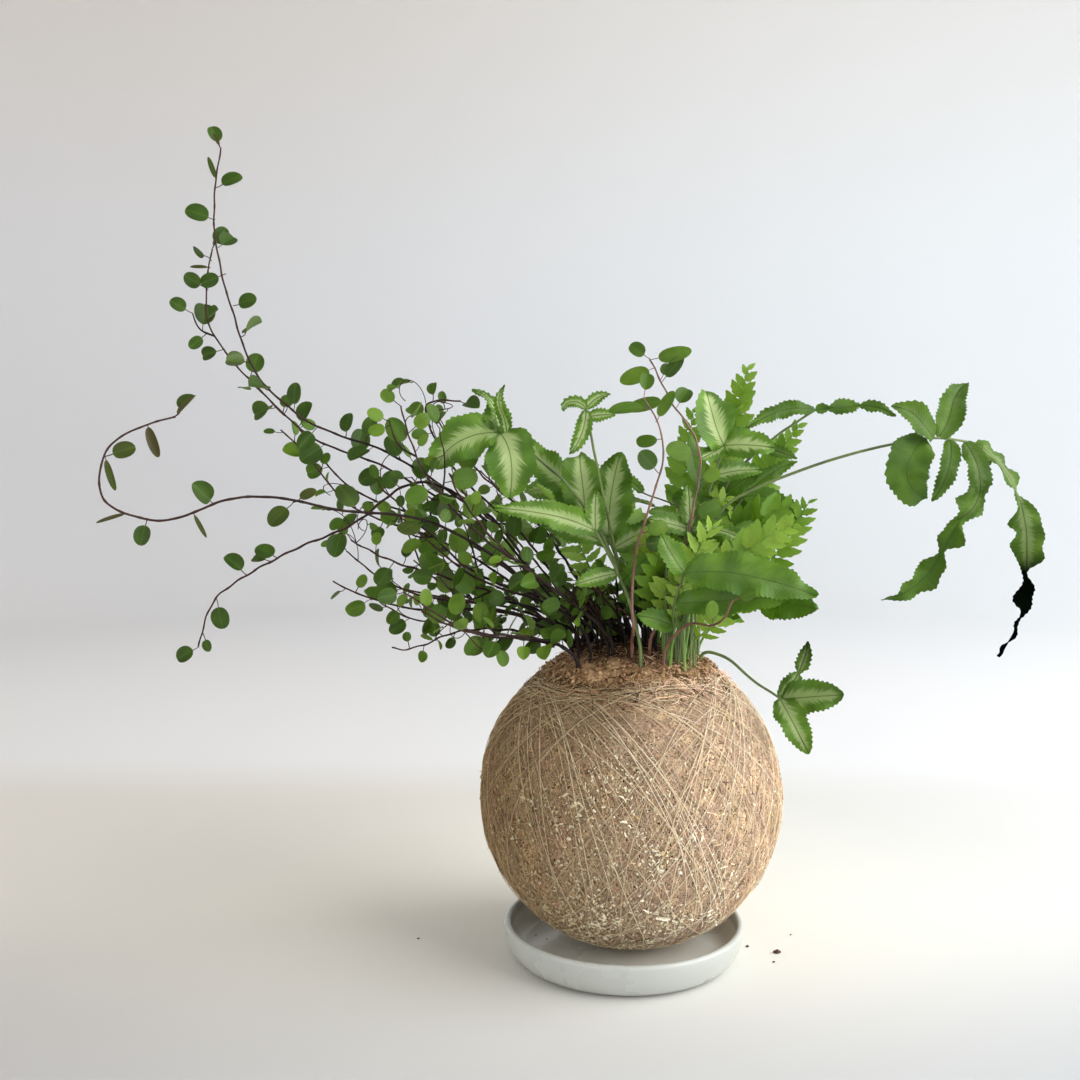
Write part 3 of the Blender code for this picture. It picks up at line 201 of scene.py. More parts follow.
def unit(vector):
    # Each vector divided by its length
    vector = np.asarray(vector, float)
    return vector / np.maximum(np.linalg.norm(vector, axis=-1, keepdims=True), 1e-9)


def smoothCurve(points, step=2.0, first=None):
    # Cubic stretches from point to point, with the mean slope at each and perhaps a given first one
    points = np.array(points, float)
    lengths = np.linalg.norm(np.diff(points, axis=0), axis=1)
    slopes = np.diff(points, axis=0) / lengths[:, None]
    before, after = lengths[:-1, None], lengths[1:, None]
    middle = (slopes[:-1] * after + slopes[1:] * before) / (before + after)
    tangents = np.vstack([slopes[:1] if first is None else [first], middle, slopes[-1:]])
    stretches = []
    for i, length in enumerate(lengths):
        count = max(2, math.ceil(length / step))
        t = np.arange(count)[:, None] / count
        stretches.append(
            (1 + 2 * t) * (1 - t) ** 2 * points[i]
            + t * (1 - t) ** 2 * length * tangents[i]
            + t * t * (3 - 2 * t) * points[i + 1]
            + t * t * (t - 1) * length * tangents[i + 1]
        )
    return np.vstack(stretches + [points[-1:]])


def thinned(points, tolerance):
    # The points without those that lie within the tolerance of the chord between the others
    if len(points) < 3:
        return points
    along = unit(points[-1] - points[0])
    offset = points - points[0]
    away = np.linalg.norm(offset - np.outer(offset @ along, along), axis=1)
    worst = int(away.argmax())
    if away[worst] < tolerance:
        return points[[0, -1]]
    return np.vstack([thinned(points[: worst + 1], tolerance)[:-1], thinned(points[worst:], tolerance)])


def distances(path):
    # How far along the path each of its points lies
    return np.concatenate([[0], np.cumsum(np.linalg.norm(np.diff(path, axis=0), axis=1))])


def pick(path, at):
    # Points at distances along the path
    reach = distances(path)
    return np.stack([np.interp(at, reach, path[:, k]) for k in range(path.shape[1])], axis=1)


def pointAt(path, distance):
    # The point at a distance along the path, and the path's direction there
    reach = distances(path)
    distance = min(max(distance, 0), reach[-1] - 1e-6)
    i = int(np.searchsorted(reach, distance, side="right") - 1)
    direction = unit(path[i + 1] - path[i])
    return path[i] + direction * (distance - reach[i]), direction


def turningPath(start, headings, length, count):
    # A path of count points whose heading turns evenly through the given ones
    fine = 8 * (count - 1)
    at = (np.arange(fine) + 0.5) / fine * (len(headings) - 1)
    headings = np.array([unit(h) for h in headings])
    columns = [np.interp(at, np.arange(len(headings)), headings[:, k]) for k in range(3)]
    steps = unit(np.stack(columns, axis=1)) * length / fine
    return start + np.vstack([np.zeros(3), np.cumsum(steps, axis=0)])[::8]


def carriedNormals(path, face):
    # Directions of travel and face normals, where the face turns only as much as the path does
    tangents = unit(np.gradient(path, axis=-2))
    normals = np.empty_like(tangents)
    normal = np.asarray(face, float)
    for i in range(path.shape[-2]):
        tangent = tangents[..., i, :]
        normal = unit(normal - tangent * (normal * tangent).sum(axis=-1, keepdims=True))
        normals[..., i, :] = normal
    return tangents, normals


def skinned(sections):
    # Corners and triangles of the closed skin over a row of sections. Both faces of a blade split alike
    count, corners = sections.shape[:2]
    row = np.arange(count - 1)[:, None] * corners
    j = np.arange(corners)
    a, b = row + j, row + (j + 1) % corners
    c, d = b + corners, a + corners
    turned = np.broadcast_to((j == 2)[:, None], (*a.shape, 1))
    first = np.where(turned, np.stack([a, b, d], axis=-1), np.stack([a, b, c], axis=-1))
    second = np.where(turned, np.stack([b, c, d], axis=-1), np.stack([a, c, d], axis=-1))
    last = (count - 1) * corners
    k = np.arange(1, corners - 1)
    ends = [np.stack([0 * k, k + 1, k], axis=1), np.stack([0 * k + last, last + k, last + k + 1], axis=1)]
    return sections.reshape(-1, 3), np.concatenate([first.reshape(-1, 3), second.reshape(-1, 3), *ends])


def circles(sides, sideways, upward):
    # The directions from a path's points to the corners of a ring: cosines sideways and sines upward
    turn = -2 * math.pi * np.arange(sides) / sides
    return turn, np.cos(turn)[:, None] * sideways[:, :, None] + np.sin(turn)[:, None] * upward[:, :, None]


def tube(path, radii, sides=3):
    # A closed tube along the path, tapering from one radius to the other
    tangents, normals = carriedNormals(path, unit((0.3, 0.5, 0.8)))
    across = np.cross(tangents, normals)
    radius = np.linspace(radii[0], radii[1], len(path))[:, None, None]
    _, spokes = circles(sides, across[None], normals[None])
    return skinned(path[:, None] + radius * spokes[0])


def blade(path, face, left, right, thickness, lean=0.0, ripple=None):
    # A thin closed blade: half widths to its left and right, and how far its edges lean on and ripple
    tangents, normals = carriedNormals(path, face)
    sides = np.cross(tangents, normals)
    ripple = np.zeros((len(path), 2)) if ripple is None else ripple
    leftEdge = path - sides * left[:, None] + tangents * (lean * left)[:, None] + normals * ripple[:, :1]
    rightEdge = path + sides * right[:, None] + tangents * (lean * right)[:, None] + normals * ripple[:, 1:]
    rise = normals * (np.ones(len(path)) * thickness / 2)[:, None]
    return skinned(np.stack([leftEdge + rise, rightEdge + rise, rightEdge - rise, leftEdge - rise], axis=1))


def makeTree(solid):
    # The solid's triangles, ready to be tested for overlaps, and its box
    points, faces = solid
    tree = BVHTree.FromPolygons(points.tolist(), faces.tolist())
    return dict(tree=tree, low=points.min(axis=0), high=points.max(axis=0))


def claims(crowd, owner, kind, solid):
    # Adds the solid to those that the next ones have to clear
    crowd.append(dict(makeTree(solid), owner=owner, kind=kind))


def outerPart(solid, bare):
    # The blade without its first stations, where it joins its stalk
    points, faces = solid
    start = 4 * bare
    return points[start:], faces[faces.min(axis=1) >= start] - start


def isClear(crowd, owner, solid, bare=0):
    # Whether the solid is off the ball and meets no other plant, nor its own one beyond its first stations
    points = solid[0]
    if np.linalg.norm(points - ball["centre"], axis=1).min() < ball["radius"] + ballClearance:
        return False
    whole = makeTree(solid)
    outer = makeTree(outerPart(solid, bare)) if bare else whole
    for other in crowd:
        kin = other["owner"] == owner
        if kin and other["kind"] == "stem":
            continue
        own = outer if kin else whole
        if (other["low"] > own["high"]).any() or (other["high"] < own["low"]).any():
            continue
        if own["tree"].overlap(other["tree"]):
            return False
    return True


def bendClear(path, radius, placed, fixed):
    # Moves the path forward or back round its nearest spot until it clears the placed stems. Its start stays
    reach = distances(path)
    ease = np.clip((reach - fixed) / bend["runUp"], 0, 1)
    near = placed[abs(placed[:, 0] - path[:, 0].mean()) < np.ptp(path[:, 0]) / 2 + bend["search"]]
    if not len(near):
        return path
    for _ in range(bend["rounds"]):
        gaps = np.linalg.norm(path[:, None] - near[None, :, :3], axis=2) - near[None, :, 3] - radius
        gaps[ease < 0.05] = np.inf
        i, j = np.unravel_index(gaps.argmin(), gaps.shape)
        lack = foliageGap + bend["spare"] - gaps[i, j]
        if lack <= 0:
            break
        side = 1.0 if path[i, 1] >= near[j, 1] else -1.0
        nearby = np.exp(-(((reach - reach[i]) / bend["spread"]) ** 2))
        path[:, 1] += side * (lack + bend["extra"]) * ease * nearby
    return path


def soilTop(x, y):
    # The height of the soil's sphere above a point
    centre = ball["centre"]
    return centre[2] + math.sqrt(soil["radius"] ** 2 - (x - centre[0]) ** 2 - (y - centre[1]) ** 2)


def sunkInSoil(root, depth):
    # The point that lies this deep under the soil's surface
    return np.array((*root, soilTop(*root) - depth))


def rootedPath(root, route, radius, placed):
    # A stem from the bottom of its hole, straight up to its collar, then through its route
    x, y = root
    top = soilTop(x, y)
    foot = np.array([(x, y, top - soil["rootDepth"]), (x, y, top + soil["collar"])])
    curve = smoothCurve([foot[1], *route], first=(0, 0, 1))
    fixed = soil["rootDepth"] + soil["collar"] + 2
    path = bendClear(np.vstack([foot[:1], curve]), radius, placed, fixed)
    return thinned(path, stemTolerance)


def sampled(path, radius):
    # Points a millimetre apart along the path, each with the stem's radius
    spots = pick(path, np.arange(0, distances(path)[-1], 1.0))
    return np.column_stack([spots, np.full(len(spots), radius)])


def twigRoute(path, share, side, length, face):
    # A side twig that leaves its stem at an angle and turns up
    start, along = pointAt(path, share * distances(path)[-1])
    across = unit(np.cross(along, face))
    heading = unit(0.7 * along + 0.8 * side * across + np.array((0, 0, 0.2)))
    later = unit(0.6 * along + 0.3 * side * across + np.array((0, 0, 0.7)))
    middle = start + heading * length * 0.45
    return np.array([start, middle, middle + later * length * 0.55])


def stemRadius(name):
    if name in brakeFerns:
        return brake["stalk"][0]
    return vine["stem"][0] if name in vines else ladder["rib"]


def layStems():
    # Every stem, stalk and rib, each bent clear of those before it: name -> paths, the main one first
    placed = np.zeros((0, 4))
    stems = {}
    for name, plan in {**brakeFerns, **vines, **ladderFerns}.items():
        radius = stemRadius(name)
        path = rootedPath(plan["root"], plan["route"], radius, placed)
        stems[name] = [path]
        placed = np.vstack([placed, sampled(path, radius)])
    for name, plan in vines.items():
        for share, side, length in plan.get("twigs", ()):
            route = twigRoute(stems[name][0], share, side, length, plan.get("face", viewer))
            own = np.vstack([sampled(p, 0.8) for p in stems[name]])
            others = placed[~(placed[:, None, :3] == own[None, :, :3]).all(axis=2).any(axis=1)]
            path = thinned(bendClear(smoothCurve(route), vine["stem"][1], others, fixed=1.0), twigTolerance)
            stems[name].append(path)
            placed = np.vstack([placed, sampled(path, vine["stem"][1])])
    return stems


def pinnaSolid(pinna, grow=0.0):
    # A pinna: its half width is a root of a sine along it, with teeth, and its sides wave in turn
    path = turningPath(pinna["start"], pinna["headings"], pinna["length"], pinna["count"])
    share = np.linspace(0, 1, len(path))
    outline = np.sin(math.pi * np.clip(share * 0.94 + 0.03, 0, 1) ** 0.75) ** 0.65
    tooth = 0.86 + 0.14 * np.where(np.arange(len(share)) % 2, 1, -1)
    half = np.maximum(pinna["width"] / 2 * outline, 0.5)
    half[0] = brake["joint"]
    thickness = np.full(len(share), brake["thickness"]) + 2 * grow
    thickness[0] = brake["joint"]
    wave = pinna["width"] * 0.07 * np.sin(share * pinna["waves"] * 2 * math.pi)
    wave[:2] = 0
    ripple = np.stack([wave, -wave], axis=1)
    left = half * tooth + grow
    right = half * (1.72 - tooth) + grow
    return blade(path, pinna["face"], left, right, thickness, 0.15, ripple)


def layPinnae(stems, crowd, rng):
    # The brake fern's pinnae, each tilted until it is clear of its neighbours
    pinnae = []
    for name, plan in brakeFerns.items():
        stalk = stems[name][0]
        for share, length, width, headings in plan["pinnae"]:
            start, _ = pointAt(stalk, share * distances(stalk)[-1])
            count = max(6, round(length / brake["station"]) + 1)
            for attempt in range(24):
                tilt = rng.normal(size=3) * 0.04 * attempt
                shrink = 1 - 0.012 * attempt
                pinna = dict(
                    node=name, start=start, headings=[unit(h) + tilt for h in headings], count=count,
                    face=plan.get("face", viewer), length=length * shrink, width=width * shrink,
                    waves=length / 16,
                )
                if isClear(crowd, name, pinnaSolid(pinna, foliageGap), bare=2):
                    claims(crowd, name, "leaf", pinnaSolid(pinna))
                    pinnae.append(pinna)
                    break
            else:
                print("no room for a pinna of", name, share, length)
    return pinnae


def ladderSolid(frond, grow=0.0):
    # A ladder fern frond: one arched blade, cut to its rib between the leaflets
    path = frond["path"]
    half = np.full(len(path), ladder["rib"])
    bare, pairs = frond["bare"], (len(path) - frond["bare"]) // 2
    share = (np.arange(pairs) + 0.5) / pairs
    reach = np.sin(math.pi * np.clip(0.12 + 0.86 * share, 0, 1)) ** 0.6 * frond["leaflet"] + 0.6
    half[bare + 1 : bare + 2 * pairs : 2] = reach
    half[bare::2] = 0.65
    half[-1] = 0.5
    sag = np.zeros((len(path), 2))
    sag[bare + 1 : bare + 2 * pairs : 2] = -0.12 * reach[:, None]
    return blade(path, frond["face"], half + grow, half + grow, ladder["thickness"] + 2 * grow, 0.3, sag)


def ladderPath(path):
    # The rib resampled: a few points up the bare stalk, then two for each pair of leaflets
    reach = distances(path)
    bare = ladder["bareShare"] * reach[-1]
    pairs = round((reach[-1] - bare) / ladder["pitch"])
    at = np.concatenate([reach[reach < bare - 3], np.linspace(bare, reach[-1], 2 * pairs + 1)])
    count = int((reach < bare - 3).sum())
    return pick(path, at), count


def layLadders(stems, crowd):
    # The ladder fern's fronds, each turned about its rib until its leaflets are clear
    fronds = []
    for name, plan in ladderFerns.items():
        path, bare = ladderPath(stems[name][0])
        side = unit(np.cross(path[-1] - path[bare], plan.get("face", viewer)))
        face = unit(np.cross(side, path[-1] - path[bare]))
        others = [other for other in crowd if other["owner"] != name]
        turns = (0, 25, -25, 50, -50, 75, -75, 90)
        options = [(size, turn) for size in (1, 0.85, 0.7, 0.55, 0.4) for turn in turns]
        for size, turn in options:
            turned = face * math.cos(math.radians(turn)) + side * math.sin(math.radians(turn))
            frond = dict(node=name, path=path, bare=bare, face=turned, leaflet=plan["leaflet"] * size)
            if isClear(others, name, outerPart(ladderSolid(frond, foliageGap), bare)):
                break
        else:
            print("no room for", name)
        claims(crowd, name, "leaf", ladderSolid(frond))
        fronds.append(frond)
    return fronds


def leafSolid(leaf, grow=0.0):
    # A round vine leaf on a short stalk, gently arched
    length, width = leaf["length"], leaf["width"]
    along = np.array([0, *(leaf["stalk"] + np.array([0, 0.33, 0.75, 1]) * length)])
    arch = leaf["arch"] * np.maximum(along - leaf["stalk"], 0) ** 2 / length
    path = leaf["base"] + along[:, None] * leaf["direction"] - arch[:, None] * leaf["face"]
    joint = vine["joint"]
    half = np.array([joint / 2, joint, 0.46 * width, 0.47 * width, 0.16 * width]) + grow
    thickness = np.array([joint, *[vine["thickness"]] * 4]) + 2 * grow
    return blade(path, leaf["face"], half, half, thickness)


def layLeaves(stems, crowd, rng):
    # The vine's leaves, on alternate sides, each turned until it is clear and left out where nothing fits
    leaves = []
    for name, plan in vines.items():
        face = plan.get("face", viewer)
        for order, path in enumerate(stems[name]):
            total = distances(path)[-1]
            at = plan["leaves"][0] if order == 0 else 5.0
            gap = vine["leafGap"] * plan["leaves"][1] * (1 if order == 0 else 0.75)
            spots = []
            while at < total - gap / 2:
                spots.append(at)
                at += gap * rng.uniform(0.8, 1.2)
            for number, spot in enumerate([*spots, total]):
                leaf = placeLeaf(name, path, spot, 1 - 2 * (number % 2), face, total, crowd, rng)
                if leaf:
                    claims(crowd, name, "leaf", leafSolid(leaf))
                    leaves.append(leaf)
    return leaves


def placeLeaf(name, path, at, side, face, total, crowd, rng):
    # A leaf at a distance along its stem: it leans forward, and the one at the tip goes straight on
    base, along = pointAt(path, at)
    forward = 1.6 if at == total else 0.45
    size = vine["leaf"] * rng.uniform(0.82, 1.12) * (1 - 0.3 * (at / total) ** 4)
    for attempt in range(14):
        loose = 0.25 + 0.09 * attempt
        turned = unit(face + rng.normal(size=3) * 1.6 * loose)
        across = unit(np.cross(along, turned))
        direction = unit(forward * along + side * across + rng.normal(size=3) * loose)
        normal = unit(turned - direction * (turned @ direction))
        leaf = dict(
            node=name, base=base, direction=direction, face=normal, length=size,
            width=size * rng.uniform(0.8, 0.98), stalk=rng.uniform(2.2, 3.6), arch=rng.uniform(0.02, 0.16),
        )
        if isClear(crowd, name, leafSolid(leaf, foliageGap / 2 + 0.1)):
            return leaf
    return None


def stemSolids(stems):
    # A closed tube for each stem and twig; the ladder fern's ribs are part of its blades
    solids = {}
    for name, (main, *twigs) in stems.items():
        radii = brake["stalk"] if name in brakeFerns else vine["stem"]
        thin = (radii[1], radii[1] * 0.9)
        solids[name] = [tube(main, radii), *(tube(path, thin) for path in twigs)]
    return solids


def layPlants():
    # The stems first, then the pinnae, the fronds and the leaves, each clear of those before it
    rng = np.random.default_rng(20)
    stems = layStems()
    crowd = []
    solids = stemSolids(stems)
    for name, tubes in solids.items():
        for solid in tubes:
            claims(crowd, name, "stem", solid)
    pinnae = layPinnae(stems, crowd, rng)
    fronds = layLadders(stems, crowd)
    leaves = layLeaves(stems, crowd, rng)
    return dict(stems=stems, pinnae=pinnae, fronds=fronds, leaves=leaves), crowd


# Meshes: each part is rings of points joined by quads, with numbers that its material reads


def skin(rings, look=0, place=0.5, reach=0.0, under=0.0, loop=False, strip=False):
    # Closed skins over rings of points (pieces, rings, points round, 3), ends capped by one face or a strip
    pieces, count, around = rings.shape[:3]
    row = np.arange(count if loop else count - 1)[:, None] * around
    nextRow = (row + around) % (count * around)
    here = np.arange(around)
    after = (here + 1) % around
    quads = np.stack([row + here, row + after, nextRow + after, nextRow + here], axis=-1).reshape(-1, 4)
    last = (count - 1) * around
    faces = [quads]
    if strip:
        k = np.arange(around // 2 - 1)
        ends = np.stack([k, k + 1, around - 2 - k, around - 1 - k], axis=-1)
        faces = [np.concatenate([quads, ends[:, ::-1], ends + last])]
    elif not loop:
        faces.append(np.stack([here[::-1], here + last]))
    shift = np.arange(pieces)[:, None, None] * (count * around)

    def atPoints(value, width):
        # The value at every point of the rings
        return np.broadcast_to(value, (pieces, count, around, width)).reshape(-1, width)

    return dict(
        points=rings.reshape(-1, 3), faces=[(f + shift).reshape(-1, f.shape[1]) for f in faces], look=look,
        place=atPoints(place, 3), reach=atPoints(reach, 3), under=atPoints(under, 1)[:, 0],
    )


def columns(*values):
    # Numbers of different shapes, stretched alike and stacked as the last axis
    return np.stack(np.broadcast_arrays(*values), axis=-1)


def tubes(paths, radii, sides=4, look=0, tint=0.5, shade=0.0):
    # Circles carried along paths (pieces, points, 3); radii and tint are one number or one for each piece
    tangents, normals = carriedNormals(paths, (0.31, 0.52, 0.8))
    turn, spokes = circles(sides, np.cross(tangents, normals), normals)
    radii = np.broadcast_to(radii, paths.shape[:2])
    share = np.linspace(0, 1, paths.shape[1])[None, :, None]
    place = columns(share, turn / (2 * math.pi), np.reshape(tint, (-1, 1, 1)))
    reach = columns(share * 0, turn * 0, np.reshape(shade, (-1, 1, 1)))
    return skin(paths[:, :, None] + radii[:, :, None, None] * spokes, look, place, reach)


def blades(paths, face, left, right, lift, look, tint=0.5, shade=0.0, thickness=0.3, lean=0.0):
    # Thin closed blades, half as thick at their edges: half widths (pieces, points) to each side, and lift
    # (pieces, points, columns) off the path. The further out, the more they lean towards the tip
    tangents, normals = carriedNormals(paths, face)
    sides = np.cross(tangents, normals)
    across = np.linspace(-1, 1, lift.shape[-1])
    out = np.where(across < 0, left[..., None], right[..., None]) * across
    middle = paths[:, :, None] + sides[:, :, None] * out[..., None] + normals[:, :, None] * lift[..., None]
    middle = middle + tangents[:, :, None] * (lean * abs(out))[..., None]
    rise = normals[:, :, None] * (thickness / 2 * (1 - 0.5 * across**2))[:, None]
    rings = np.concatenate([middle + rise, (middle - rise)[:, :, ::-1]], axis=2)
    steps = np.linalg.norm(np.diff(paths, axis=1), axis=2)
    along = np.concatenate([np.zeros((len(paths), 1)), np.cumsum(steps, axis=1)], axis=1)[:, :, None]
    both = np.concatenate([across, across[::-1]])
    outBoth = np.concatenate([out, out[:, :, ::-1]], axis=2)
    place = columns(along / along[:, -1:], both, np.reshape(tint, (-1, 1, 1)))
    reach = columns(along, outBoth, np.broadcast_to(shade, along.shape[:2])[..., None])
    under = (np.arange(len(both)) >= len(across))[:, None]
    return skin(rings, look, place, reach, under, strip=True)


def lumps(points, size, seed):
    # Smooth unevenness from -1 to 1: the mean of waves that run in random directions, about size across
    draw = np.random.default_rng(seed)
    waves = unit(draw.normal(size=(18, 3))) * draw.uniform(0.6, 1.7, (18, 1)) * 2 * math.pi / size
    return np.sin(points @ waves.T + draw.uniform(0, 2 * math.pi, 18)).mean(axis=-1) * 2.2


def unevenness(points, plan, seed):
    # Lumps of one size with two sizes of grain on them
    coarse, fine = plan["grainSizes"]
    rough = plan["lump"] * lumps(points, plan["lumpSize"], seed)
    return rough + plan["grain"] * (lumps(points, coarse, seed + 1) + lumps(points, fine, seed + 2))


def addObject(name, data, *materials):
    for made in materials:
        data.materials.append(made)
    thing = bpy.data.objects.new(name, data)
    bpy.context.scene.collection.objects.link(thing)
    return thing


def makePiece(name, parts, materials, slotName, *nodes, sharp=50):
    # Joins the parts into one mesh, with their numbers as attributes, in place of the nodes
    starts = np.cumsum([0] + [len(part["points"]) for part in parts])
    corners, totals, looks = [], [], []
    for part, start in zip(parts, starts):
        for faces in part["faces"]:
            corners.append((faces + start).ravel())
            totals.append(np.full(len(faces), faces.shape[1]))
            looks.append(np.full(len(faces), part["look"]))
    corners, totals, looks = map(np.concatenate, (corners, totals, looks))
    mesh = bpy.data.meshes.new(name)
    mesh.vertices.add(starts[-1])
    mesh.vertices.foreach_set("co", np.vstack([part["points"] for part in parts]).ravel() * metres)
    mesh.loops.add(len(corners))
    mesh.loops.foreach_set("vertex_index", corners)
    mesh.polygons.add(len(totals))
    mesh.polygons.foreach_set("loop_start", np.cumsum(totals) - totals)
    mesh.polygons.foreach_set("material_index", looks)
    mesh.update(calc_edges=True)
    for key in ("place", "reach"):
        values = np.vstack([part[key] for part in parts])
        mesh.attributes.new(key, "FLOAT_VECTOR", "POINT").data.foreach_set("vector", values.ravel())
    under = np.concatenate([part["under"] for part in parts])
    mesh.attributes.new("under", "FLOAT", "POINT").data.foreach_set("value", under.astype(float))
    if mesh.validate():
        print("repaired", name)
    mesh.shade_smooth()
    mesh.set_sharp_from_angle(angle=math.radians(sharp))
    piece = addObject(name, mesh, *materials)
    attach(piece, "root")
    if nodes:
        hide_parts(*nodes)


# Materials: helpers that add and join the nodes of the material that is being made

making = {}


class Output:
    # A node's output. Sums, differences and products of it are Math nodes
    def __init__(self, socket):
        self.socket = socket

    def __add__(self, other):
        return maths("ADD", self, other)

    def __radd__(self, other):
        return maths("ADD", other, self)

    def __sub__(self, other):
        return maths("SUBTRACT", self, other)

    def __rsub__(self, other):
        return maths("SUBTRACT", other, self)

    def __mul__(self, other):
        return maths("MULTIPLY", self, other)

    def __abs__(self):
        return maths("ABSOLUTE", self)


def addNode(kind, inputs=None, **settings):
    # A node whose inputs are values or outputs of other nodes
    tree = making["tree"]
    made = tree.nodes.new("ShaderNode" + kind)
    for key, value in settings.items():
        setattr(made, key, value)
    for key, value in (inputs or {}).items():
        if isinstance(value, Output):
            tree.links.new(value.socket, made.inputs[key])
        else:
            made.inputs[key].default_value = value
    return made


def one(kind, inputs=None, output=0, **settings):
    return Output(addNode(kind, inputs, **settings).outputs[output])


def maths(operation, a, b=0.0):
    return one("Math", {0: a, 1: b}, operation=operation)


def varied(value, wave, amount):
    # The value, moved up or down as the wave lies above or below a half
    return value + (wave - 0.5) * amount


def mix(share, a, b, blend="MIX"):
    # From a to b as share goes from 0 to 1, where a and b are colours or outputs
    a, b = (end if isinstance(end, Output) else (*end, 1) for end in (a, b))
    return one("Mix", {"Factor": share, 6: a, 7: b}, 2, data_type="RGBA", blend_type=blend)


def noise(where, scale, detail=3.0, rough=0.55, output="Fac"):
    return one("TexNoise", {"Vector": where, "Scale": scale, "Detail": detail, "Roughness": rough}, output)


def ease(value, low, high):
    # 0 at low, 1 at high and a smooth rise between them; low may be the greater
    inputs = {"Value": value, "From Min": low, "From Max": high}
    return one("MapRange", inputs, interpolation_type="SMOOTHSTEP")


def separated(vector):
    return [Output(socket) for socket in addNode("SeparateXYZ", {0: vector}).outputs]


def vectorMaths(operation, a, b=None, output=0):
    return one("VectorMath", {0: a} if b is None else {0: a, 1: b}, output, operation=operation)


def objectPlace():
    return one("TexCoord", output="Object")


def numbers(name):
    # The three numbers that a piece carries at each point under this name
    return separated(one("Attribute", output="Vector", attribute_name=name))


def bump(height, distance, strength=1.0):
    return one("Bump", {"Height": height, "Distance": distance, "Strength": strength})


def newMaterial(name):
    # From now on the helpers add to this material
    material = bpy.data.materials.new(name)
    material.use_nodes = True
    making["tree"] = material.node_tree
    making["tree"].nodes.clear()
    return material


def finish(colour, roughness, normal=None, through=None, share=0.0, **plain):
    # A Principled surface; where light passes through, part of it is a Translucent one of that colour
    inputs = {"Base Color": colour, "Roughness": roughness}
    if normal is not None:
        inputs["Normal"] = normal
    inputs.update({key.replace("_", " "): value for key, value in plain.items()})
    shader = one("BsdfPrincipled", inputs)
    if through is not None:
        passing = one("BsdfTranslucent", {"Color": through})
        shader = one("MixShader", {0: share, 1: shader, 2: passing})
    addNode("OutputMaterial", {"Surface": shader})


# Saucer: the foot ring's edges are measured in from its radius, and the lip's ends are angles

saucer = dict(
    foot=40.4, rim=48.0, height=14.3, floor=3.7, wall=2.8, sides=112, steps=14, recess=1.2, inset=2.0,
    base=0.5, footRing=(0.4, 3.2, 3.8), pole=0.4, floorRings=(12, 24, 34), lip=(2.6, 0.5), lipSteps=7,
)
# The inside colour is painted light: whiter than the outside glaze
glaze = dict(
    colour=(0.51, 0.53, 0.495), paintedLightInside=(0.90, 0.91, 0.84), bare=(0.60, 0.56, 0.49), speck=(0.42, 0.38, 0.32),
    roughness=0.22, relief=0.0002, paintedLightInsideUpTo=(0.40, 0.34), bareUpTo=(0.0009, 0.0003),
)


def turned(profile, sides):
    # A profile of radii and heights carried round the upright axis, from its top centre to its bottom centre
    angle = -2 * math.pi * np.arange(sides) / sides
    radius, height = np.array(profile).T
    return columns(radius[:, None] * np.cos(angle), radius[:, None] * np.sin(angle), height[:, None])[None]


def makeSaucer(material):
    # Floor, quarter-ellipse wall, round lip, curved outside and a foot ring round a shallow recess
    rim, foot, wall, floor, base = (saucer[key] for key in ("rim", "foot", "wall", "floor", "base"))
    lip, edge, inset = wall / 2, saucer["height"] - wall / 2, saucer["inset"]
    t = np.linspace(0, math.pi / 2, saucer["steps"])
    flat = [(r, floor) for r in (saucer["pole"], *saucer["floorRings"])]
    inner = [
        (foot - inset + (rim - wall - foot + inset) * math.sin(a), floor + (edge - floor) * (1 - math.cos(a)))
        for a in t
    ]
    turn = np.linspace(*saucer["lip"], saucer["lipSteps"])
    crown = [(rim - lip + lip * math.cos(a), edge + lip * math.sin(a)) for a in turn]
    outer = [(foot + (rim - foot) * math.sin(a), base + (edge - base) * (1 - math.cos(a))) for a in t[::-1]]
    outside, inside, bottom = (foot - step for step in saucer["footRing"])
    under = [(outside, 0.0), (inside, 0.0), (bottom, saucer["recess"]), (saucer["pole"], saucer["recess"])]
    rings = turned(flat + inner + crown + outer + under, saucer["sides"])
    place = columns(np.linspace(0, 1, rings.shape[1])[None, :, None], 0.0, 0.5)
    makePiece("glazed_saucer", [skin(rings, 0, place)], [material], "saucer_glaze", "saucer", sharp=35)


def glazeMaterial():
    # Off-white glaze, painted whiter inside as painted light, with a few specks, and bare clay under the foot
    material = newMaterial("whiteGlaze")
    where = objectPlace()
    cloud = noise(where, 28.0, 4.0)
    height = separated(where)[2]
    part = numbers("place")[0]
    # Painted light: the inside, up its wall, is whiter than the outside, lightening the shade under the ball
    paintedLightInside = ease(part + cloud * 0.04, *glaze["paintedLightInsideUpTo"])
    colour = mix(paintedLightInside, glaze["colour"], glaze["paintedLightInside"])
    speck = ease(noise(where, 420.0, 2.0), 0.76, 0.8)
    colour = mix(speck * 0.25, colour, glaze["speck"])
    bare = ease(height, *glaze["bareUpTo"])
    colour = mix(bare, colour, glaze["bare"])
    rough = cloud * 0.12 + bare * 0.5
    rough = rough + glaze["roughness"]
    uneven = bump(noise(where, 160.0, 2.0), glaze["relief"], 0.25)
    finish(colour, rough, uneven, Coat_Weight=0.3, Coat_Roughness=0.08)
    return material


# Fibre ball, its soil and its loose fibres. What only the materials read, such as a relief, is in metres

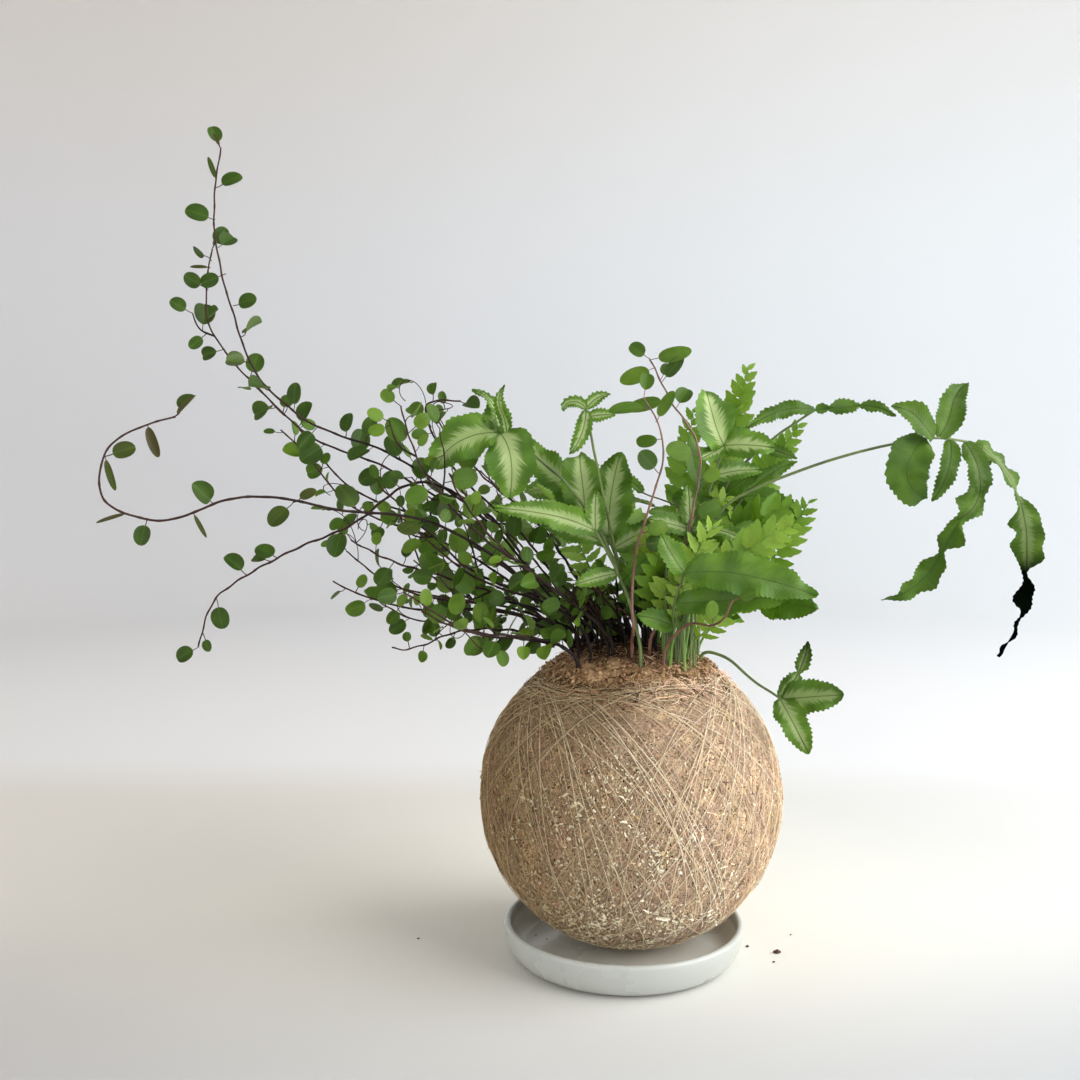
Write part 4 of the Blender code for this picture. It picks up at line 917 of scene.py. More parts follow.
fibreBall = dict(
    sides=210, rows=90, innerRows=8, lump=0.4, lumpSize=9, grain=0.24, grainSizes=(2.6, 1.3), bottom=8,
    edge=(0.25, 12), relief=0.0009,
)
mound = dict(
    sides=150, rows=46, lowerRows=12, lump=1.5, lumpSize=13, grain=0.6, grainSizes=(4, 1.8), edge=6, drop=2.2,
    slack=0.6, crumbs=520, crumbSize=(0.35, 1.15), sunk=0.2,
)
loose = dict(
    hairs=1500, hairLength=(1.2, 3.2), fibres=1500, length=(3, 10), lift=(0.5, 1.3), back=2.5, low=158,
)
flat = dict(count=4100, length=(1.6, 4.6), lift=(0.3, 0.95), low=160)
flatTones = ((0.05, 0.35, 0.6, 0.85, 1.0), (0.17, 0.13, 0.2, 0.28, 0.22))
flecks = dict(
    count=7200, drawn=3, size=(0.34, 0.8), front=(-0.15, -1, -0.45), patches=(30, 9), rise=(0.55, 1.0),
    sizes=((0.7, 1, 1.5), (0.5, 0.4, 0.1)), tones=((0.05, 0.5, 0.7, 0.85), (0.15, 0.2, 0.3, 0.35)),
    fallen=16, fallenSize=(0.3, 0.8), fallenSide=(150, 320), fallenIn=(3, 13),
)
# The last keys paint light and shade: a darker side away from the window, a lighter one towards it, where one
# passes into the other, and a darker spot
coir = dict(
    light=(0.92, 0.65, 0.37), dark=(0.31, 0.175, 0.082), pink=(0.86, 0.48, 0.32), olive=(0.62, 0.44, 0.195),
    tan=(0.62, 0.50, 0.32), shadedSide=(0.66, 0.64, 0.54), litSide=(1.22, 1.33, 1.50), dampAndShadow=(0.50, 0.46, 0.36),
    shadedToLit=(-0.045, 0.06), dampShadowSpot=(-0.014, -0.028, 0.124), dampShadowReach=(0.012, 0.048),
)
strandTurns = ((0.5, 0.2, 0.9), (-0.6, 0.7, 0.3), (1.2, -0.5, 0.1), (0.1, 1.1, -0.8))
strandScales = (1500.0, 1700.0, 1400.0, 1600.0)
peat = dict(
    dark=(0.035, 0.017, 0.009), brown=(0.16, 0.085, 0.040), rust=(0.30, 0.155, 0.070), edge=(18, 31),
    relief=0.0012,
)
cream = dict(pale=(0.90, 0.79, 0.56), light=(0.80, 0.62, 0.37), deep=(0.66, 0.46, 0.24))
centre = np.array(ball["centre"])
flatAngle = 180 - math.degrees(math.acos((centre[2] - ball["flat"]) / ball["radius"]))


def rimAngle(azimuth):
    # The polar angle of the opening's uneven edge, in degrees: its mean with two sines round it
    return opening["angle"] + opening["ripple"] * (np.sin(2 * azimuth + 0.6) + 0.6 * np.sin(5 * azimuth))


def spherePoints(polar, azimuth, radius):
    # Points from the angle off the upright axis in degrees, the azimuth in radians and the distance
    polar = np.radians(polar)
    out = radius * np.sin(polar)
    return centre + columns(out * np.cos(azimuth), out * np.sin(azimuth), radius * np.cos(polar))


def makeBall(material):
    # Inside and outside spheres joined at the opening's edge, the outside raised by lumps and grain
    azimuth = -2 * math.pi * np.arange(fibreBall["sides"]) / fibreBall["sides"]
    inside = ball["radius"] - ball["wrap"]
    share = np.linspace(0, 1, fibreBall["rows"])[:, None]
    edge = rimAngle(azimuth)
    outer = spherePoints(edge + (flatAngle - edge) * share, azimuth, ball["radius"])
    level = unit(outer - centre)
    first, growth = fibreBall["edge"]
    fade = np.clip((1 - share) * fibreBall["bottom"], 0, 1) * np.clip(first + share * growth, 0, 1)
    outer = outer + level * (unevenness(outer, fibreBall, 1) * fade)[..., None]
    innerShare = np.linspace(1, 0, fibreBall["innerRows"])[:, None]
    inner = spherePoints(opening["angle"] + (flatAngle - opening["angle"]) * innerShare, azimuth, inside)
    rings = np.concatenate([inner, outer])[None]
    makePiece("fibre_ball", [skin(rings)], [material], "coco_fibre", "fibre_wrap", sharp=180)


def makeSoil(material):
    # A crumbly mound standing up through the opening, over a plain ball inside the wrap
    azimuth = -2 * math.pi * np.arange(mound["sides"]) / mound["sides"]
    share = np.linspace(0.01, 1, mound["rows"])[:, None]
    top = spherePoints((rimAngle(azimuth) - opening["slack"]) * share, azimuth, soil["radius"])
    rough = unevenness(top, mound, 5)
    fade = np.clip((1.02 - share) * mound["edge"], 0, 1)
    top = top + unit(top - centre) * (rough * fade - mound["drop"] * share**4)[..., None]
    inside = ball["radius"] - ball["wrap"] - mound["slack"]
    lowerShare = np.linspace(0, 1, mound["lowerRows"])[:, None]
    lower = spherePoints(opening["angle"] - 1 + (flatAngle - opening["angle"]) * lowerShare, azimuth, inside)
    rings = np.concatenate([top, lower])[None]
    makePiece("soil_mound", [skin(rings), soilCrumbs()], [material], "peat", "soil_core", sharp=180)


def soilCrumbs():
    # Small lumps of soil: five-sided spindles of uneven radius, sunk by half into the mound
    draw = np.random.default_rng(31)
    count = mound["crumbs"]
    azimuth = draw.uniform(0, 2 * math.pi, count)
    polar = rimAngle(azimuth) * np.sqrt(draw.uniform(0, 1.05, count))
    seat = spherePoints(polar, azimuth, soil["radius"] - mound["sunk"])
    size = draw.uniform(*mound["crumbSize"], count)
    along = np.array([-1, 0.1, 1])
    paths = seat[:, None] + unit(draw.normal(size=(count, 1, 3))) * (along * size[:, None])[..., None]
    girth = np.array([0.45, 0.95, 0.4]) * size[:, None] * draw.uniform(0.6, 1.1, (count, 3))
    return tubes(paths, girth, 5, tint=draw.uniform(0, 1, count))


def curledHairs(seats, headings, normals, lengths, curl, stations, draw):
    # Hairs that leave their seats in a heading, bend aside by the square of the way along, and wave
    share = np.linspace(0, 1, stations)
    side = np.cross(headings, normals)
    curve = draw.normal(size=(len(seats), 1)) * curl
    phase = draw.uniform(0, 6, (len(seats), 1))
    aside = (curve * share**2 + 0.12 * curl * np.sin(share * 9 + phase))[..., None]
    way = headings[:, None] * share[:, None] + side[:, None] * aside
    return seats[:, None] + lengths[:, None, None] * way


def surfaceSpots(count, draw, low, high):
    # Random spots on the ball between two polar angles, with the outward direction and one along the surface
    height = draw.uniform(math.cos(math.radians(high)), math.cos(math.radians(low)), count)
    azimuth = draw.uniform(0, 2 * math.pi, count)
    seats = spherePoints(np.degrees(np.arccos(height)), azimuth, ball["radius"])
    outward = unit(seats - centre)
    return seats, outward, unit(np.cross(outward, draw.normal(size=(count, 3))))


def makeLooseFibres(material):
    # Short hairs all over the ball, and long curly fibres over the mound and the opening's edge
    draw = np.random.default_rng(41)
    count = loose["hairs"]
    seats, outward, level = surfaceSpots(count, draw, opening["angle"] + 1, loose["low"])
    headings = unit(level + outward * draw.uniform(0.05, 1.1, (count, 1)))
    lengths = draw.uniform(*loose["hairLength"], count)
    hairs = curledHairs(seats - outward * 0.2, headings, outward, lengths, 0.4, 4, draw)
    parts = [tubes(hairs, np.linspace(0.15, 0.07, 4), 3, tint=draw.uniform(0.2, 1, count))]
    count = loose["fibres"]
    seats, outward, level = surfaceSpots(count, draw, 2, opening["angle"] + 9)
    inner = np.clip((opening["angle"] - 2 - np.degrees(np.arccos(outward[:, 2:]))) / 8, 0, 1)
    lift = draw.uniform(*loose["lift"], (count, 1)) + inner * draw.uniform(0.3, 1.9, (count, 1))
    seats = seats + outward * lift
    headings = unit(level + outward * draw.uniform(-0.1, 0.28, (count, 1)))
    fibres = curledHairs(seats, headings, outward, draw.uniform(*loose["length"], count), 0.5, 6, draw)
    fibres = fibres - headings[:, None] * loose["back"]
    away = np.linalg.norm(fibres - centre, axis=-1, keepdims=True)
    fibres = centre + (fibres - centre) * np.maximum(away, ball["radius"] + 0.5) / away
    fromAxis = np.linalg.norm((seats - centre)[:, :2], axis=1) / soil["radius"]
    tint = draw.uniform(0, 1, count) * np.clip(0.45 + 1.1 * fromAxis, 0, 1)
    parts.append(tubes(fibres, np.linspace(0.2, 0.09, 6), 3, tint=tint))
    makePiece("loose_fibres", parts, [material], "coco_fibre")


def makeFlatFibres(material):
    # Bits of fibre that lie flat among and over the threads, in light and dark tones
    draw = np.random.default_rng(42)
    count = flat["count"]
    seats, outward, level = surfaceSpots(count, draw, opening["angle"], flat["low"])
    height = ball["radius"] + draw.uniform(*flat["lift"], (count, 1, 1))
    fibres = curledHairs(seats, level, outward, draw.uniform(*flat["length"], count), 0.3, 4, draw)
    away = np.linalg.norm(fibres - centre, axis=-1, keepdims=True)
    fibres = centre + (fibres - centre) * height / away
    fibres[..., 2] = np.maximum(fibres[..., 2], ball["flat"] + 0.2)
    tones, shares = flatTones
    tint = draw.choice(tones, count, p=shares) + draw.normal(size=count) * 0.06
    part = tubes(fibres, np.array([0.07, 0.13, 0.12, 0.06]), 3, tint=tint)
    makePiece("flat_fibres", [part], [material], "coco_fibre")


def makeFlecks(material):
    # Cream crumbs of dry moss: short bent spindles, thickest on the lower front and in patches elsewhere
    draw = np.random.default_rng(43)
    seats, outward, level = surfaceSpots(flecks["count"] * flecks["drawn"], draw, opening["angle"] - 3, 158)
    wide, narrow = flecks["patches"]
    patch = lumps(seats, wide, 44) + 0.7 * lumps(seats, narrow, 45)
    front = np.clip(((outward @ unit(np.array(flecks["front"]))) - 0.42) * 1.9, 0, 1)
    rank = patch * 0.6 + front * (1 + patch) * 0.8 + draw.uniform(0, 2.4, len(seats))
    keep = np.argsort(-rank)[: flecks["count"]]
    count = len(keep)
    seats, outward, level, patch, front = (rows[keep] for rows in (seats, outward, level, patch, front))
    dense = front * np.clip(patch, 0, 1)
    sizes, shares = flecks["sizes"]
    size = draw.uniform(*flecks["size"], count) * draw.choice(sizes, count, p=shares)
    size = size * (1 + (0.35 * front + 0.5 * front * np.clip(patch, 0, 1)))
    headings = unit(level + outward * draw.uniform(-0.2, 0.5, (count, 1)))
    rise = draw.uniform(*flecks["rise"], count) + 0.35 * dense
    paths = curledHairs(seats + outward * rise[:, None], headings, outward, size, 0.9, 3, draw)
    girth = np.array([0.26, 0.46, 0.22]) * size[:, None] * draw.uniform(0.5, 1.15, (count, 3))
    cluster = np.clip(patch * 0.8 + front * 1.6 - 0.3, 0, 1)
    tones, shares = flecks["tones"]
    whiteness = draw.choice(tones, count, p=shares)
    whiteness = np.clip(whiteness + cluster * draw.uniform(0, 0.8, count), 0, 1)
    parts = [tubes(paths, girth, 3, tint=whiteness), fallenCrumbs(draw)]
    makePiece("moss_flecks", parts, [material], "coco_fibre")


def fallenCrumbs(draw):
    # Dark crumbs that have dropped onto the saucer's floor, mostly on its left
    count = flecks["fallen"]
    angle = np.radians(draw.uniform(*flecks["fallenSide"], count))
    size = draw.uniform(*flecks["fallenSize"], count)
    reach = saucer["foot"] - draw.uniform(*flecks["fallenIn"], count)
    spots = columns(reach * np.cos(angle), reach * np.sin(angle), saucer["floor"] + 0.3 * size)
    lie = unit(draw.normal(size=(count, 3)) * (1, 1, 0.1))
    paths = spots[:, None] + lie[:, None] * size[:, None, None] * np.array([-1, 0.2, 1])[:, None]
    return tubes(paths, np.array([0.3, 0.6, 0.25]) * size[:, None], 5, tint=draw.uniform(0, 0.25, count))


def paintedLightAndShade(where, colour):
    # Painted light and shade: paler towards the window, darker on the other side and round one spot
    # Painted light and shade: lighter towards the window on the right, darker away from it
    aside = separated(where)[0]
    aside = aside + noise(where, 30.0, 2.0) * 0.03
    tone = mix(ease(aside, *coir["shadedToLit"]), coir["shadedSide"], coir["litSide"])
    # Darker round a spot at the top front left: partly damp fibre, partly a painted shadow of the foliage
    away = vectorMaths("LENGTH", vectorMaths("SUBTRACT", where, coir["dampShadowSpot"]), output="Value")
    away = away + noise(where, 90.0, 3.0) * 0.02
    tone = mix(ease(away, *coir["dampShadowReach"]), coir["dampAndShadow"], tone)
    return mix(1.0, colour, tone, "MULTIPLY")


def fibreMaterial():
    # Matted coir: the lightest of four turned and stretched noises, with pink, olive and dark patches
    material = newMaterial("coirFibre")
    where = objectPlace()
    warp = noise(where, 55.0, 2.0, 0.5, "Color")
    bent = mix(0.012, where, warp, "LINEAR_LIGHT")
    strands = []
    for turn, scale in zip(strandTurns, strandScales):
        inputs = {"Vector": bent, "Rotation": turn, "Scale": (1.0, 0.1, 1.0)}
        strands.append(noise(one("Mapping", inputs), scale, 1.0))
    pairs = [maths("MAXIMUM", *strands[k : k + 2]) for k in (0, 2)]
    fibres = maths("MAXIMUM", *pairs)
    tone = ease(fibres, 0.46, 0.70)
    patch = noise(where, 42.0, 3.0)
    light = mix(ease(patch, 0.52, 0.68), coir["light"], coir["pink"])
    light = mix(ease(noise(where, 60.0, 3.0), 0.52, 0.7), light, coir["olive"])
    colour = mix(tone, coir["dark"], light)
    grain = ease(noise(where, 1200.0, 2.0), 0.58, 0.68)
    colour = mix(grain * 0.7, colour, cream["light"])
    pits = ease(noise(where, 800.0, 2.0), 0.42, 0.34)
    colour = mix(pits, colour, peat["dark"])
    # Painted light and shade over the coir's colours
    colour = paintedLightAndShade(where, colour)
    finish(colour, 0.92, bump(fibres, fibreBall["relief"]), Specular_IOR_Level=0.2)
    return material


def tintedMaterial(name, stops, roughness, scale, relief):
    # A colour chosen from the stops by the piece's own tint number, broken up by fine noise
    material = newMaterial(name)
    where = objectPlace()
    fine = noise(where, scale, 3.0)
    tint = numbers("place")[2]
    ramp = addNode("ValToRGB", {0: varied(tint, fine, 0.7)})
    elements = ramp.color_ramp.elements
    for i in range(1, len(stops) - 1):
        elements.new(i / (len(stops) - 1))
    for element, colour in zip(elements, stops):
        element.color = (*colour, 1)
    uneven = bump(noise(where, scale * 2, 2.0), relief, 0.8)
    # The tint's colour under the coir's painted light and shade
    finish(paintedLightAndShade(where, Output(ramp.outputs[0])), roughness, uneven, Specular_IOR_Level=0.25)
    return material


def soilMaterial():
    # Dark crumbly peat in the middle, with more and more fibre in it towards the opening's edge
    material = newMaterial("peatSoil")
    where = objectPlace()
    coarse = noise(where, 170.0, 4.0, 0.7)
    fine = noise(where, 800.0, 3.0, 0.7)
    level = vectorMaths("SUBTRACT", where, (*(centre[:2] * metres), 0))
    level = vectorMaths("MULTIPLY", level, (1, 1, 0))
    away = vectorMaths("LENGTH", level, output="Value")
    edge = ease(away, *(x * metres for x in peat["edge"]))
    dark = mix(edge, peat["dark"], coir["dark"])
    light = mix(edge, peat["brown"], mix(fine, coir["dark"], coir["light"]))
    colour = mix(ease(coarse, 0.42, 0.62), dark, light)
    colour = mix(ease(fine, 0.5, 0.7) * 0.7, colour, peat["rust"])
    colour = mix(ease(noise(where, 1300.0, 2.0), 0.66, 0.74), colour, coir["light"])
    uneven = bump(coarse + fine * 0.5, peat["relief"])
    finish(colour, 0.95, uneven, Specular_IOR_Level=0.2)
    return material


# Winding thread: each kind's ranges of radius, of height over the ball and of its axis's tilt, and how far
# past the opening it lies. Angles are in degrees

winding = dict(
    bold=dict(
        count=52, radius=(0.105, 0.15), layer=(1.0, 1.3), tilt=(8, 38), past=3.0, stations=92, sides=4,
        seed=51, material="paleThread", roughness=0.7, nodes=["winding_thread"],
        tones=[(0.66, 0.48, 0.28), (0.76, 0.57, 0.35), (0.82, 0.65, 0.43), (0.88, 0.75, 0.54)],
    ),
    fine=dict(
        count=430, radius=(0.075, 0.115), layer=(-0.1, 0.6), tilt=(4, 50), past=7.0, stations=60, sides=3,
        seed=52, material="brownThread", roughness=0.8, nodes=[],
        tones=[(0.30, 0.205, 0.115), (0.52, 0.38, 0.225), (0.60, 0.37, 0.265), (0.70, 0.54, 0.345)],
    ),
    over=dict(
        count=150, radius=(0.07, 0.105), layer=(0.5, 0.9), tilt=(4, 44), past=5.0, stations=72, sides=3,
        seed=53, material="tanThread", roughness=0.75, nodes=[],
        tones=[(0.52, 0.38, 0.22), (0.66, 0.43, 0.31), (0.70, 0.54, 0.34), (0.78, 0.62, 0.41)],
    ),
)
course = dict(
    clear=31.5, notch=-42, bunch=(0.3, 4, 13), towards=(0.0, 180.0, 90.0), shares=(0.5, 0.33, 0.17),
    scatter=36, drift=((1, 1.6), (2, 0.7), (3, 0.4), (5, 0.2)), softness=0.7, wave=0.25, pressed=(150, 12),
    heights=(-0.1, 1.5), twist=(0.12, 23), relief=0.0001, grain=500.0,
)


def threadLoops(plan):
    # Circles round tilted axes, moved off the ball's middle past the opening, each in its own layer
    draw = np.random.default_rng(plan["seed"])
    count = plan["count"]
    tilt = draw.uniform(*plan["tilt"], (count, 1))
    past = np.maximum(course["clear"] - tilt, 0) + draw.gamma(1.3, plan["past"], (count, 1))
    tilt = np.radians(tilt)
    towards = draw.choice(course["towards"], (count, 1), p=course["shares"])
    azimuth = np.radians(towards + draw.normal(size=(count, 1)) * course["scatter"])
    aside = np.cos(tilt)
    axis = np.concatenate([aside * np.cos(azimuth), aside * np.sin(azimuth), np.sin(tilt)], axis=1)
    across = unit(np.cross(axis, (0.0, 0.0, 1.0)))[:, None]
    upward = np.cross(across[:, 0], axis)[:, None]
    turn = 2 * math.pi * np.arange(plan["stations"]) / plan["stations"]
    drift = sum(
        np.radians(size) * draw.normal(size=(count, 1)) * np.sin(k * turn + draw.uniform(0, 6.28, (count, 1)))
        for k, size in course["drift"]
    )
    spread = (math.pi / 2 + np.radians(past) + drift)[..., None]
    around = np.cos(turn)[:, None] * across + np.sin(turn)[:, None] * upward
    outward = np.cos(spread) * axis[:, None] + np.sin(spread) * around
    polar = np.degrees(np.arccos(outward[..., 2].clip(-1, 1)))
    heading = np.arctan2(outward[..., 1], outward[..., 0])
    # Loops that would cross the opening bunch round its edge, closest at the notch, by a soft maximum
    tight, near, far = course["bunch"]
    slack = (1 - np.cos(heading - math.radians(course["notch"]))) / 2
    edge = rimAngle(heading) + tight + draw.uniform(0, 1, (count, 1)) * (near + (far - near) * slack)
    soft = course["softness"]
    polar = polar + np.log1p(np.exp((edge - polar) * soft)) / soft
    level = draw.uniform(*plan["layer"], (count, 1))
    level = level + course["wave"] * draw.normal(size=(count, 1)) * np.sin(turn * 4 + azimuth)
    low, width = course["pressed"]
    # Flat where the ball rests
    level = level.clip(*course["heights"]) * (1 - np.clip((polar - low) / width, 0, 1))
    paths = spherePoints(np.minimum(polar, flatAngle - 2), heading, ball["radius"] + level)
    normals = unit(paths - centre)
    tangents = unit(np.roll(paths, -1, axis=1) - np.roll(paths, 1, axis=1))
    corner, spokes = circles(plan["sides"], np.cross(tangents, normals), normals)
    depth, turns = course["twist"]
    twisted = 1 + depth * np.sin(turn * turns)[:, None, None]
    thick = draw.uniform(*plan["radius"], (count, 1, 1, 1)) * twisted
    share = (turn / (2 * math.pi))[:, None]
    place = columns(share, corner / (2 * math.pi), draw.beta(1.6, 1.3, count)[:, None, None])
    return skin(paths[:, :, None] + thick * spokes, 0, place, loop=True)


def makeThreads():
    # Each kind of thread in one piece with its own colours
    for name, plan in winding.items():
        material = tintedMaterial(
            plan["material"], plan["tones"], plan["roughness"], course["grain"], course["relief"]
        )
        makePiece("winding_" + name, [threadLoops(plan)], [material], "thread", *plan["nodes"], sharp=180)


# Wire vine: stems, twigs and leaf stalks by their radii, and the leaves' shape

shoots = dict(
    stem=(0.66, 0.32), twig=(0.40, 0.24), petiole=0.19, thickness=0.3, small=(0.55, 0.95), step=1.4,
    wobble=0.32, kinks=(0.14, 0.3, 0.62), kink=0.35, still=6, loosens=12, knots=6.5, swell=0.28,
    half=0.46, cup=(-0.10, 0.26), fold=(0.0, 0.09), bow=0.5, rows=9,
)
noKnots = 1e6  # a distance between knots that no stem reaches
noTip = 1e6  # a length that keeps the leaves near a shoot's tip as large as the others
vineColours = dict(
    deep=(0.035, 0.082, 0.008), mid=(0.100, 0.205, 0.018), bright=(0.215, 0.36, 0.036),
    back=(0.20, 0.27, 0.08), through=(0.50, 0.70, 0.07), red=(0.10, 0.055, 0.022),
    stem=(0.016, 0.009, 0.007), stemTip=(0.060, 0.026, 0.018), redStem=(0.23, 0.10, 0.065),
    redShade=(0.10, 0.05, 0.03),
)


def fineLine(path, wobble, seed):
    # A smooth curve with small kinks, sums of sines along it, that fade at its start
    fine = smoothCurve(path, shoots["step"])
    at = distances(fine)[:, None]
    draw = np.random.default_rng(seed)
    kinks = sum(np.sin(at * k + draw.uniform(0, 6.28, 3)) * draw.normal(size=3) for k in shoots["kinks"])
    return fine + kinks * shoots["kink"] * wobble * np.clip((at - shoots["still"]) / shoots["loosens"], 0, 1)


def stemPart(path, radii, sides, seed, wobble=shoots["wobble"], knots=shoots["knots"]):
    # A tube that tapers evenly along the path, a little thicker at each knot
    fine = fineLine(path, wobble, seed)
    at = distances(fine)
    swell = 1 + shoots["swell"] * np.exp(-(((at % knots) - knots / 2) ** 2) / 0.5)
    return tubes(fine[None], np.linspace(*radii, len(fine)) * swell, sides)


def drawn(draw, plan, *keys):
    # One random number from each of the plan's ranges
    return np.array([draw.uniform(*plan[key]) for key in keys])


def gather(things, key):
    return np.array([thing[key] for thing in things], float)


def leafParts(leaves, draw):
    # Oval leaves on bowed stalks: half widths follow a root along the leaf, which cups by the square across,
    # folds at its middle and arches by the square along
    base, direction, face = (gather(leaves, key) for key in ("base", "direction", "face"))
    sizes = (gather(leaves, key)[:, None] for key in ("length", "width", "stalk", "arch"))
    length, width, stalk, arch = sizes
    u = (1 - np.cos(math.pi * np.linspace(0.06, 0.94, shoots["rows"]))) / 2
    drop = arch * (length * u) ** 2 / length
    paths = base[:, None] + (stalk + length * u)[..., None] * direction[:, None]
    paths = paths - drop[..., None] * face[:, None]
    half = width * shoots["half"] * (1 - abs(2 * u**0.92 - 1) ** 2.15) ** 0.52
    across = np.linspace(-1, 1, 5)
    cup, fold = (draw.uniform(*shoots[key], len(leaves))[:, None, None] for key in ("cup", "fold"))
    lift = width[..., None] * (cup * across**2 + fold * abs(across)) * np.sin(math.pi * u)[:, None] ** 0.5
    nodes = [leaf.get("node") for leaf in leaves]
    # The sparse shoots' leaves are all deep green, painted shade away from the window, and the curled shoot's
    # are brown
    spread = np.array([0.12 if node in sparse else 1.0 for node in nodes])
    tint = 0.08 + draw.uniform(0, 1, len(leaves)) * spread
    brown = np.where([node == "vine_curl" for node in nodes], (tint - 0.08) * 4, 0.0)
    brown = np.maximum(brown, [leaf.get("brown", 0.0) for leaf in leaves])[:, None]
    leafy = blades(paths, face, half, half, lift, 1, tint, brown, shoots["thickness"])
    t = np.linspace(-0.08, 1, 5)[None, :, None]
    bow = shoots["bow"] * np.sin(math.pi * np.linspace(0, 1, 5))[None, :, None]
    stalks = base[:, None] + (stalk[..., None] + 0.35) * t * direction[:, None] - bow * face[:, None]
    return [leafy, tubes(stalks, shoots["petiole"], 4, 0, tint)]


def leafInputs(name):
    # A leaf's material and what its blades carry: the share along, the place across and the tint; millimetres
    # along and sideways and the darkness; and 1 on the underside
    material = newMaterial(name)
    where = objectPlace()
    place, reach = numbers("place"), numbers("reach")
    return material, where, place, reach, one("Attribute", output=2, attribute_name="under")


def vineMaterials():
    # Leathery leaves from deep to bright green with a reddish rim, and dark stems with browner tips
    leafy, where, (_, across, tint), (lengthwise, sideways, dark), under = leafInputs("vineLeaf")
    cloud = noise(where, 130.0, 3.0)
    share = varied(tint, cloud, 0.8)
    colour = mix(ease(share, 0.0, 0.6), vineColours["deep"], vineColours["mid"])
    colour = mix(ease(share, 0.7, 1.05) * 0.8, colour, vineColours["bright"])
    middle = ease(abs(sideways), 0.34, 0.1)
    colour = mix(middle * 0.25, colour, vineColours["bright"])
    colour = mix(under * 0.4, colour, vineColours["back"])
    rim = ease(abs(across), 0.88, 1.0)
    colour = mix(rim * 0.35, colour, vineColours["red"])
    colour = mix(dark, colour, vineColours["red"])
    vein = lengthwise - abs(sideways) * 0.8
    ridges = maths("SINE", vein * 4.2)
    relief = bump(ridges + middle * -3.0, 0.00003, 0.5)
    through = mix(0.45, colour, vineColours["through"])
    rough = 0.34 + cloud * 0.25
    finish(colour, rough, relief, through, 0.36, Specular_IOR_Level=0.35)
    stem = newMaterial("vineStem")
    where = objectPlace()
    along = numbers("place")[0]
    share = along * 0.5 + noise(where, 90.0, 3.0) * 0.5
    colour = mix(ease(share, 0.35, 0.8), vineColours["stem"], vineColours["stemTip"])
    relief = bump(noise(where, 900.0, 2.0), 0.0002, 0.6)
    finish(colour, 0.6, relief, Specular_IOR_Level=0.2)
    return stem, leafy


def makeVines(plants, extra, stemMaterial, leafMaterial, redStem):
    # Each spray in one piece: its stem, twigs and extra shoots with all their leaves
    draw = np.random.default_rng(61)
    for number, (name, plan) in enumerate(vines.items()):
        own = plants["stems"][name]
        parts = []
        for i, path in enumerate(own + extra["stems"].get(name, [])):
            radii = shoots["stem"] if i == 0 or i >= len(own) else shoots["twig"]
            parts.append(stemPart(path, radii, 6, 1000 + 40 * number + i))
        leaves = [leaf for leaf in plants["leaves"] + extra["leaves"] if leaf["node"] == name]
        parts += leafParts(leaves, draw)
        stem, slotName = (redStem, "vine_red") if plan.get("red") else (stemMaterial, "vine_green")
        makePiece("leafy_" + name, parts, [stem, leafMaterial], slotName, name)


# Brake fern

pinnaLooks = dict(
    stalk=(0.72, 0.48), thickness=0.3, columns=9, tooth=0.8, toothPitch=3, step=0.6, wider=1.06, least=0.22,
    foot=0.3, wave=0.085, groove=0.22, lean=0.15, roll=0.9, pale=(0.45, 1.0), pinch=(0.72, 0.07),
)
# What some fronds have of their own: how pale their bands are, and how dark they are all over
frondLooks = dict(
    brake_fern_long=dict(pale=(0.0, 0.45), deep=0.28), brake_fern_thin=dict(pale=(0.0, 0.25), deep=0.2),
    brake_fern_low=dict(pale=(0.3, 0.7), deep=0.2), brake_fern_right=dict(pale=(0.0, 0.3)),
    brake_fern_front=dict(pale=(0.1, 0.35)), brake_fern_inner=dict(pale=(0.1, 0.6)),
)
# And some pinnae: how much wider they are, where they pinch in, and where their dark tip starts and ends
ownLooks = {
    ("brake_fern_long", 0): dict(wider=1.3, pinches=(0.30, 0.64, 0.86), dark=(0.5, 0.62)),
    ("brake_fern_long", 1): dict(wider=1.35, pinches=(0.42, 0.60)),
    ("brake_fern_long", 4): dict(wider=1.2),
    ("brake_fern_long", 6): dict(pinches=(0.6,)),
    ("brake_fern_thin", 1): dict(pinches=(0.16, 0.55)),
    ("brake_fern_low", 1): dict(wider=1.5, pinches=(0.5,), dark=(0.15, 1.3)),
    ("brake_fern_left", 3): dict(pinches=(0.5,)),
}
filling = dict(
    blades=28, across=(8, 56), deep=(-8, 24), high=(138, 188), length=(13, 27), width=(0.3, 0.5),
    pale=(-0.2, 0.3), rootAcross=(14, 27), rootDeep=(-13, 8), stalk=(0.5, 0.35),
)
brakeColours = dict(
    green=(0.085, 0.200, 0.014), bright=(0.190, 0.37, 0.032), pale=(0.60, 0.72, 0.32),
    back=(0.25, 0.36, 0.12), midrib=(0.07, 0.15, 0.02), through=(0.52, 0.74, 0.07),
    black=(0.002, 0.004, 0.002), stalk=(0.15, 0.21, 0.055), stalkShade=(0.07, 0.10, 0.035),
)


